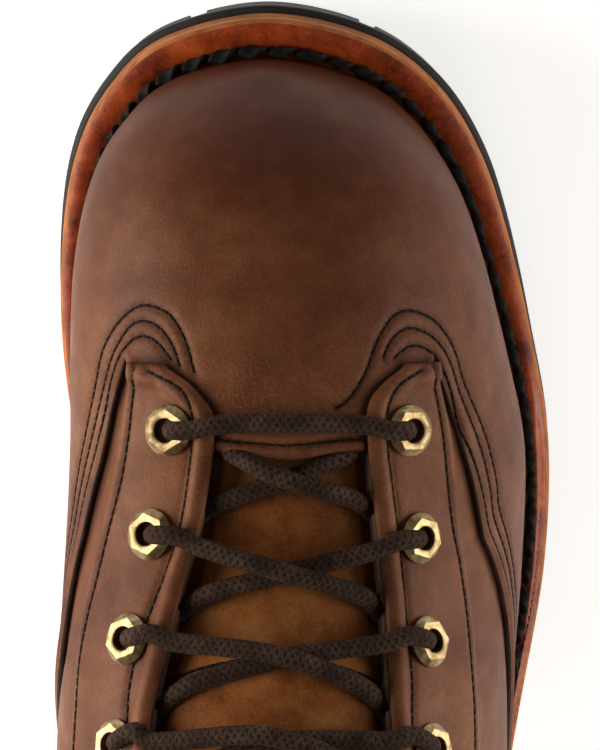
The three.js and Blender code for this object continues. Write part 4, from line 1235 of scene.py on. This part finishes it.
def outsolePiece():
    top = outline(1, 0)
    edge, waist, foot, rounded = [toeOut(outline(1, extra * mm)) for extra in (0.5, -0.1, -0.4, -1.2)]
    loops = [*filled(top, outsoleTop, 3)[::-1], atHeight(top, outsoleTop),
             atHeight(edge, outsoleTop, 0.5 * mm), atHeight(edge, outsoleTop, 2.8 * mm),
             atHeight(waist, outsoleTop, 3.3 * mm),
             atHeight(foot, outsoleTop, 3.9 * mm), atHeight(foot, outsoleBottom, -0.8 * mm),
             atHeight(rounded, outsoleBottom), *filled(rounded, outsoleBottom, 6)]
    piece = newObject("outsoleRubber", welded(loopsSheet(loops)), [soleRubber], ("outsole",))
    first = -0.01 * length
    rim, depth = soleLayers["rimWidth"], soleLayers["lugDepth"]

    def grooveTop(y):
        return float(outsoleBottom(y)) + depth

    cutters = edgeGrooves(first, 0.5 * length, grooveTop)
    # the sunk middle round the cross lugs, in slices across the sole
    inner = outline(1, -rim, 600)
    right, left = inner[:300], inner[300:][::-1]
    for y in np.arange(first + 0.6 * rim, 0.40 * length, 0.525 * soleLayers["lugPitch"]):
        x0, x1 = float(np.interp(y, left[:, 1], left[:, 0])), float(np.interp(y, right[:, 1], right[:, 0]))
        cutters.append(blockAt(0.5 * (x0 + x1), y, 0, max(0.008, x1 - x0), 5 * mm, grooveTop(y)))
    return carved(piece, cutters)


def heelPiece():
    taper, cap = soleLayers["heelTaper"], soleLayers["heelCap"]
    breast = -0.2 * length
    seat = below(outsoleBottom, soleLayers["gap"])
    centre = np.array([-0.045 * ball, breast - 0.145 * length])

    def cropped(extra):
        # the outline behind the breast, closed straight across
        loop = outline(1, 0.5 * mm + extra, 900)
        return evenLoop(loop[loop[:, 1] < breast - 0.1 * extra], 300)

    def closing(extra, height):
        rim = cropped(extra)
        return [atHeight(rim + (centre - rim) * t, height) for t in np.linspace(0, 1, 6)[1:]]

    lift = -0.76 * taper
    loops = [*closing(-taper - 1.0 * mm, 0.0)[::-1], atHeight(cropped(-taper - 1.0 * mm), 0.0),
             atHeight(cropped(-taper), 0.8 * mm), atHeight(cropped(lift), cap - 1.2 * mm),
             atHeight(cropped(lift - 0.9 * mm), cap - 0.6 * mm),
             atHeight(cropped(lift - 0.9 * mm), cap + 0.3 * mm),
             atHeight(cropped(-0.7 * taper), cap + 1.0 * mm)]
    for t in (0.25, 0.5, 0.75, 0.96):
        loops.append(atHeight(cropped(-0.7 * taper * (1 - t)), lambda y: cap + (seat(y) - cap) * t))
    loops += [atHeight(cropped(-0.6 * mm), seat), *closing(-0.6 * mm, seat)]
    piece = newObject("heelStack", welded(loopsSheet(loops)), [soleRubber], ("heel",))
    cutters = edgeGrooves(-length, breast - 4 * mm, lambda y: 0.8 * cap, taper)
    middle = breast - 1.9 * soleLayers["rimWidth"]
    for dx, dy in ((1, 1), (1, -1), (-1, 1), (-1, -1)):
        x, y = centre[0] + dx * 9 * mm, middle + dy * 9.5 * mm
        cutters.append(blockAt(x, y, 0, 9 * mm, 10 * mm, soleLayers["lugDepth"]))
    return carved(piece, cutters)


def insolePiece():
    base, top = outline(0, -4.2 * mm), outline(0, -6.0 * mm)
    loops = [*filled(base, below(midsoleTop, -0.4 * mm), 2)[::-1], atHeight(base, midsoleTop, -0.4 * mm),
             atHeight(base, midsoleTop, -4.5 * mm), atHeight(top, midsoleTop, -6.4 * mm),
             *filled(top, below(midsoleTop, -6.0 * mm), 8)]
    return newObject("insoleBoard", welded(loopsSheet(loops)), [insoleLeather], ("insole",))


weltPiece()
midsolePiece()
outsolePiece()
heelPiece()
insolePiece()
print("sole: made")

# Eyelets

eyeletSizes = {"flange": 5.3 * mm, "top": 4.15 * mm, "hole": 2.45 * mm, "height": 1.6 * mm,
               "facing": 1.0 * mm, "seat": 0.35 * mm, "rows": 11, "first": 14.12, "last": 1.47}


def eyeletPlaces(side):
    s = np.linspace(eyeletSizes["first"], eyeletSizes["last"], 401)
    run = runAlong(outside(s, eyeletAt(s, side), side))
    last = eyeletSizes["rows"] - 1
    return [float(s[np.searchsorted(run, run[-1] * k / last - 1e-12)]) for k in range(last + 1)]


def eyeletBasis(s, side):
    a = eyeletAt(s, side)
    up = normalAt(s, a, side)[0]
    ahead, behind = [outside(row, eyeletAt(row, side), side)[0] for row in (s - 0.02, s + 0.02)]
    along = ahead - behind
    along = unit(along - up * along.dot(up))
    centre = outside(s, a, side)[0]
    return np.cross(along, up), along, up, centre + up * facingRise(s, side, centre, up)


def facingRise(s, side, centre, up):
    # how far the facing, where it curves inwards, rises over a flat foot that touches it at its middle
    ahead, aside = np.meshgrid(np.linspace(-0.6, 0.6, 25), np.linspace(-0.09, 0.09, 13))
    rows = s + ahead.ravel()
    spots = skin(rows, eyeletAt(rows, side) + aside.ravel(), side, eyeletSizes["facing"]) - centre
    height = spots @ up
    away = np.sqrt(np.maximum(0, np.sum(spots * spots, axis=1) - height ** 2))
    return max(0, float(np.max((height - eyeletSizes["facing"])[away < 1.2 * eyeletSizes["flange"]])))


def eyeletMesh():
    # rings from the round foot over sloped facets to a six-sided top, a rolled hole and a barrel
    base = eyeletSizes["facing"] + eyeletSizes["seat"]
    top = base + eyeletSizes["height"]
    flange, crown, hole = eyeletSizes["flange"], eyeletSizes["top"], eyeletSizes["hole"]
    rings = [(flange - 0.5 * mm, base - 0.25 * mm, 0), (flange, base, 0), (flange, base + 0.28 * mm, 0),
             (flange - 0.22 * mm, base + 0.5 * mm, 0.1), (crown + 0.12 * mm, top - 0.12 * mm, 1),
             (crown - 0.1 * mm, top, 1), (0.5 * (crown + hole) + 0.15 * mm, top - 0.02 * mm, 0.4),
             (hole + 0.45 * mm, top, 0), (hole + 0.12 * mm, top - 0.12 * mm, 0), (hole, top - 0.45 * mm, 0),
             (hole, base - 1.0 * mm, 0), (hole, -3.0 * mm, 0)]
    turn = np.linspace(0, 2 * np.pi, 37)[:-1]
    part = (turn + np.pi / 6) % (np.pi / 3) - np.pi / 6
    six = np.cos(np.pi / 6) / np.cos(part) * 1.075
    loops = []
    for radius, height, corner in rings:
        r = radius * (1 + (six - 1) * corner)
        loops.append(np.column_stack([r * np.cos(turn), r * np.sin(turn), np.full(36, height)]))
    bm = merged(loopsSheet(loops), 0.005 * mm)
    bmesh.ops.recalc_face_normals(bm, faces=bm.faces)
    return asMesh(facingOut(bm, (0, 0, -0.01)), "eyeletRing")


eyeletRing = eyeletMesh()
rowsOfEyelets = {side: eyeletPlaces(side) for side in (1, -1)}
for side, word in ((1, "lateral"), (-1, "medial")):
    for k, s in enumerate(rowsOfEyelets[side]):
        spin = Matrix.Rotation(math.radians(random.uniform(0, 60)), 4, "Z")
        bm = copies(eyeletRing, [basis(*eyeletBasis(s, side)) @ spin])
        piece = newObject("eyelet_%s_ring_%d" % (word, k + 1), bm, [eyeletBrass],
                          ("eyelet_%s_%d" % (word, k + 1),))
        piece.data.set_sharp_from_angle(angle=math.radians(28))
print("eyelets: made")

# Lace

laceSizes = {"radius": 2.0 * mm, "overFacing": 2.95 * mm, "overTongue": -1.9 * mm, "underFacing": -4.4 * mm,
             "sides": 16, "step": 1.0 * mm}


def laceRoute(side):
    # from the middle of the lowest bar up to the top row, crossing to the other side at every step
    rows = rowsOfEyelets
    over, under, onTongue = laceSizes["overFacing"], laceSizes["underFacing"], laceSizes["overTongue"]
    s0 = rows[side][0]
    a0 = float(eyeletAt(s0, side))
    middle = 0.5 * (rows[1][0] + rows[-1][0])
    # over the vamp's throat edge, then down through the eyelet
    places = [(middle + 0.09, 1, 1, 2.45 * mm), (middle + 0.09, 0.94, side, 2.55 * mm),
              (s0 + 0.06, throatAt(s0, side), side, over + 0.35 * mm),
              (s0, a0 + 0.055, side, over + 0.9 * mm),
              (s0, a0 + 0.016, side, 3.2 * mm), (s0, a0 + 0.004, side, 0.2 * mm),
              (s0 - 0.05, a0 + 0.012, side, -3.0 * mm)]
    for k in range(eyeletSizes["rows"] - 1):
        low, high = rows[side][k], rows[-side][k + 1]
        lift = (3.5 if side < 0 else 0.0) * mm
        cross = 0.25 * (rows[1][k] + rows[-1][k] + rows[1][k + 1] + rows[-1][k + 1])
        aLow, aHigh = float(eyeletAt(low, side)), float(eyeletAt(high, -side))
        leave = low + (cross - low) * 0.30
        arrive = high + (cross - high) * 0.42
        tLow, tHigh = float(throatAt(leave, side)), float(throatAt(arrive, -side))
        if k == 0:
            places += [(leave, tLow - 0.01, side, under + 0.2 * mm),
                       (leave + (cross - leave) * 0.3, tLow + 0.035, side, onTongue + 0.3 * lift)]
        else:
            places += [(low - 0.03, aLow + 0.020, side, 3.3 * mm),
                       (low - 0.07, aLow + 0.062, side, over + 0.85 * mm),
                       (leave, tLow, side, over + 0.25 * mm)]
        places += [(cross, 1, 1, onTongue + 1.2 * lift),
                   (arrive + (cross - arrive) * 0.35, tHigh + 0.035, -side, onTongue + 0.25 * lift),
                   (arrive, tHigh - 0.012, -side, under + 0.2 * mm),
                   (high, aHigh + 0.015, -side, under - 0.3 * mm),
                   (high, aHigh, -side, -2.0 * mm), (high, aHigh + 0.002, -side, 1.0 * mm)]
        side = -side
    last = rows[side][-1]
    places.append((last, float(eyeletAt(last, side)) + 0.004, side, 2.9 * mm))
    return [skin(*place)[0] for place in places]


def blend(a, b, start, end, t):
    return ((end - t) * a + (t - start) * b) / (end - start)


def curved(points, step):
    # an even curve through the points, without overshoot where they lie close together
    p = np.array(points)
    p = np.vstack([2 * p[0] - p[1], p, 2 * p[-1] - p[-2]])
    fine = []
    for i in range(1, len(p) - 2):
        gaps = [max(1e-6, np.linalg.norm(p[i + j] - p[i + j - 1]) ** 0.5) for j in range(3)]
        t0, t1, t2, t3 = 0, gaps[0], gaps[0] + gaps[1], sum(gaps)
        for t in np.linspace(t1, t2, 24, endpoint=False):
            a1 = blend(p[i - 1], p[i], t0, t1, t)
            a2 = blend(p[i], p[i + 1], t1, t2, t)
            a3 = blend(p[i + 1], p[i + 2], t2, t3, t)
            fine.append(blend(blend(a1, a2, t0, t2, t), blend(a2, a3, t1, t3, t), t1, t2, t))
    fine.append(p[-2])
    out = evenPoints(fine, int(runAlong(fine)[-1] / step) + 1)
    for again in range(3):
        out[1:-1] = 0.25 * out[:-2] + 0.5 * out[1:-1] + 0.25 * out[2:]
    return out


routes = {side: curved(laceRoute(side), laceSizes["step"]) for side in (1, -1)}
whole = np.vstack([routes[-1][::-1], routes[1][1:]])
ends = np.minimum(np.arange(len(whole)), np.arange(len(whole))[::-1])
wobble = np.array([random.uniform(-1, 1) for point in whole])
radii = laceSizes["radius"] * np.clip(np.sqrt((ends + 0.35) / 2.2), 0.2, 1)
radii *= 1 + 0.03 * np.convolve(wobble, np.ones(3) / 3, mode="same")
crossings = ["lace_crossing_%d" % k for k in range(1, eyeletSizes["rows"])]
bm = capped(sweptTube(whole, radii, laceSizes["sides"]))
newObject("lace", bm, [laceWeave], ("lace_bar", *crossings))
print("lace: made,", round(1000 * laceSizes["step"] * len(whole)), "mm")

# Thread


def stitchMesh(long, thick, flat=0.75, rings=4, sides=6, twist=0.0, oval=1.0):
    # one stitch along Y: a short rounded run of thread that dips into the leather at both ends
    turn = np.linspace(0, 2 * np.pi, sides + 1)[:-1]
    loops = []
    for u in np.linspace(0, 1, 2 * rings + 1):
        end = (2 * u - 1) ** 4
        half = 0.5 * thick * math.sqrt(max(0.02, 1 - end))
        c, s = math.cos(twist * u), math.sin(twist * u)
        x, z = np.cos(turn) * oval, np.sin(turn) / oval
        loops.append(np.column_stack([half * (x * c - z * s), np.full(sides, (u - 0.5) * long),
                                      half * (x * s + z * c) * flat - 0.32 * thick * end]))
    return asMesh(capped(merged(loopsSheet(loops), 0.001 * mm)), "stitch")


threadSizes = {"long": 2.58 * mm, "thick": 0.66 * mm, "sunk": -0.08 * mm, "stray": 0.05}


def stitchPlaces(points, normals):
    places = []
    for k in range(len(points) - 1):
        up = unit(normals[k] + normals[k + 1])
        along = unit(points[k + 1] - points[k])
        across = unit(np.cross(along, up))
        up = np.cross(across, along)
        turn = Matrix.Rotation(random.uniform(-threadSizes["stray"], threadSizes["stray"]), 4, "Z")
        centre = 0.5 * (points[k] + points[k + 1]) - up * threadSizes["sunk"]
        places.append(basis(across, along, up, centre) @ turn)
    return places


def seam(name, rows, slotName="upper_leather"):
    # rows is a list of (points, normals) lines
    template = stitchMesh(threadSizes["long"], threadSizes["thick"])
    bm = bmesh.new()
    for row in rows:
        copies(template, stitchPlaces(*row), bm)
    return newObject(name, bm, [seamThread], ())


for side, word in ((1, "outer"), (-1, "inner")):
    seam("vampStitches_" + word, [vampPaths[side, name] for name in stitchRows])
    seam("facingStitches_" + word, [facingPaths[side, name] for name in facingStitches])
seam("throatStitches", throatPaths)
tongueSeam = []
for side in (1, -1):
    row = tongueSizes["seamRow"] - 0.08
    out = float(throatAt(row, side))
    line = [(row - 0.06, out - 0.01), (row - 0.03, out + 0.05), (row, 0.5 * (1 + out) + 0.03), (row, 0.999)]
    tongueSeam.append(pathPoints(line, side, tongueSizes["level"] + 0.85 * mm, threadPitch))
seam("tongueStitches", tongueSeam, "tongue_leather")

# The welt's thick waxed thread lies in the crevice between upper and welt, one stitch overlapping the next
weltThread = {"pitch": 6.5 * mm, "long": 7.1 * mm, "thick": 2.25 * mm, "out": 1.65 * mm, "up": 0.6 * mm}


def weltSeam():
    template = stitchMesh(weltThread["long"], weltThread["thick"], flat=0.95, rings=9, sides=12, twist=5.2,
                          oval=1.3)
    path = outline(0, weltThread["out"], 900)
    count = int(round(runAlong(np.vstack([path, path[:1]]))[-1] / weltThread["pitch"]))
    path = outline(0, weltThread["out"], count)
    places = []
    for here, ahead in zip(path, np.roll(path, -1, axis=0)):
        middle = 0.5 * (here + ahead)
        along = unit(np.array([*(ahead - here), float(weltTop(ahead[1]) - weltTop(here[1]))]))
        outward = unit(np.cross(along, [0, 0, 1]))
        centre = [*middle, float(weltTop(middle[1])) + weltThread["up"]]
        lean = Matrix.Rotation(math.radians(6 + random.uniform(-5, 5)), 4, "Z")
        lean = lean @ Matrix.Rotation(math.radians(-4), 4, "X") @ Matrix.Scale(random.uniform(0.88, 1.1), 4)
        places.append(basis(outward, along, np.cross(outward, along), centre) @ lean)
    return newObject("weltStitches", copies(template, places), [waxedThread], ())


weltSeam()
print("thread: made")

# Floor, light and camera

floorMesh = bmesh.new()
bmesh.ops.create_grid(floorMesh, x_segments=1, y_segments=1, size=3.0)
floorFinish = Finish("paleFloor", Base_Color=(0.90, 0.90, 0.90, 1), Roughness=0.9, Specular_IOR_Level=0.1,
                     Emission_Color=(1, 1, 1, 1), Emission_Strength=0.58)
mesh = asMesh(floorMesh, "floor")
mesh.materials.append(floorFinish.material)
floorPiece = bpy.data.objects.new("floor", mesh)
bpy.context.scene.collection.objects.link(floorPiece)

studio = {
    "left": ((-0.90, 0.03, 0.27), 0.70, 14.5),
    "right": ((0.90, -0.02, 0.27), 0.60, 6.6),
    "front": ((0.0, 1.20, 0.55), 0.7, 0.15),
    "back": ((0.1, -1.0, 0.7), 0.8, 2.5),
}
for name, (place, size, power) in studio.items():
    lamp = bpy.data.lights.new(name, "AREA")
    lamp.energy = power
    lamp.size = size
    lamp.color = (1.0, 0.94, 0.84)
    holder = bpy.data.objects.new(name, lamp)
    holder.location = place
    aim = Vector((0.0, 0.03, 0.08)) - Vector(place)
    holder.rotation_euler = aim.to_track_quat("-Z", "Y").to_euler()
    bpy.context.scene.collection.objects.link(holder)
world = bpy.data.worlds.new("studio")
world.use_nodes = True
world.node_tree.nodes["Background"].inputs[0].default_value = (1, 1, 1, 1)
world.node_tree.nodes["Background"].inputs[1].default_value = 0.16
bpy.context.scene.world = world

cameraSettings = {"distance": 0.600, "tilt": math.radians(18), "lens": 4.33 * 600 / 750 * 36,
                  "aim": Vector((-1.94 * mm, 67.2 * mm, 21 * mm))}
camera = bpy.data.objects.new("photoCamera", bpy.data.cameras.new("photoCamera"))
tilt = cameraSettings["tilt"]
away = Vector((0, math.sin(tilt), math.cos(tilt)))
camera.location = cameraSettings["aim"] + cameraSettings["distance"] * away
camera.rotation_euler = (-tilt, 0, 0)
camera.data.lens = cameraSettings["lens"]
camera.data.sensor_width = 36
camera.data.sensor_fit = "AUTO"
camera.data.clip_start = 0.01
bpy.context.scene.collection.objects.link(camera)
bpy.context.scene.camera = camera
bpy.context.scene.view_settings.view_transform = "Standard"
print("stage: made")
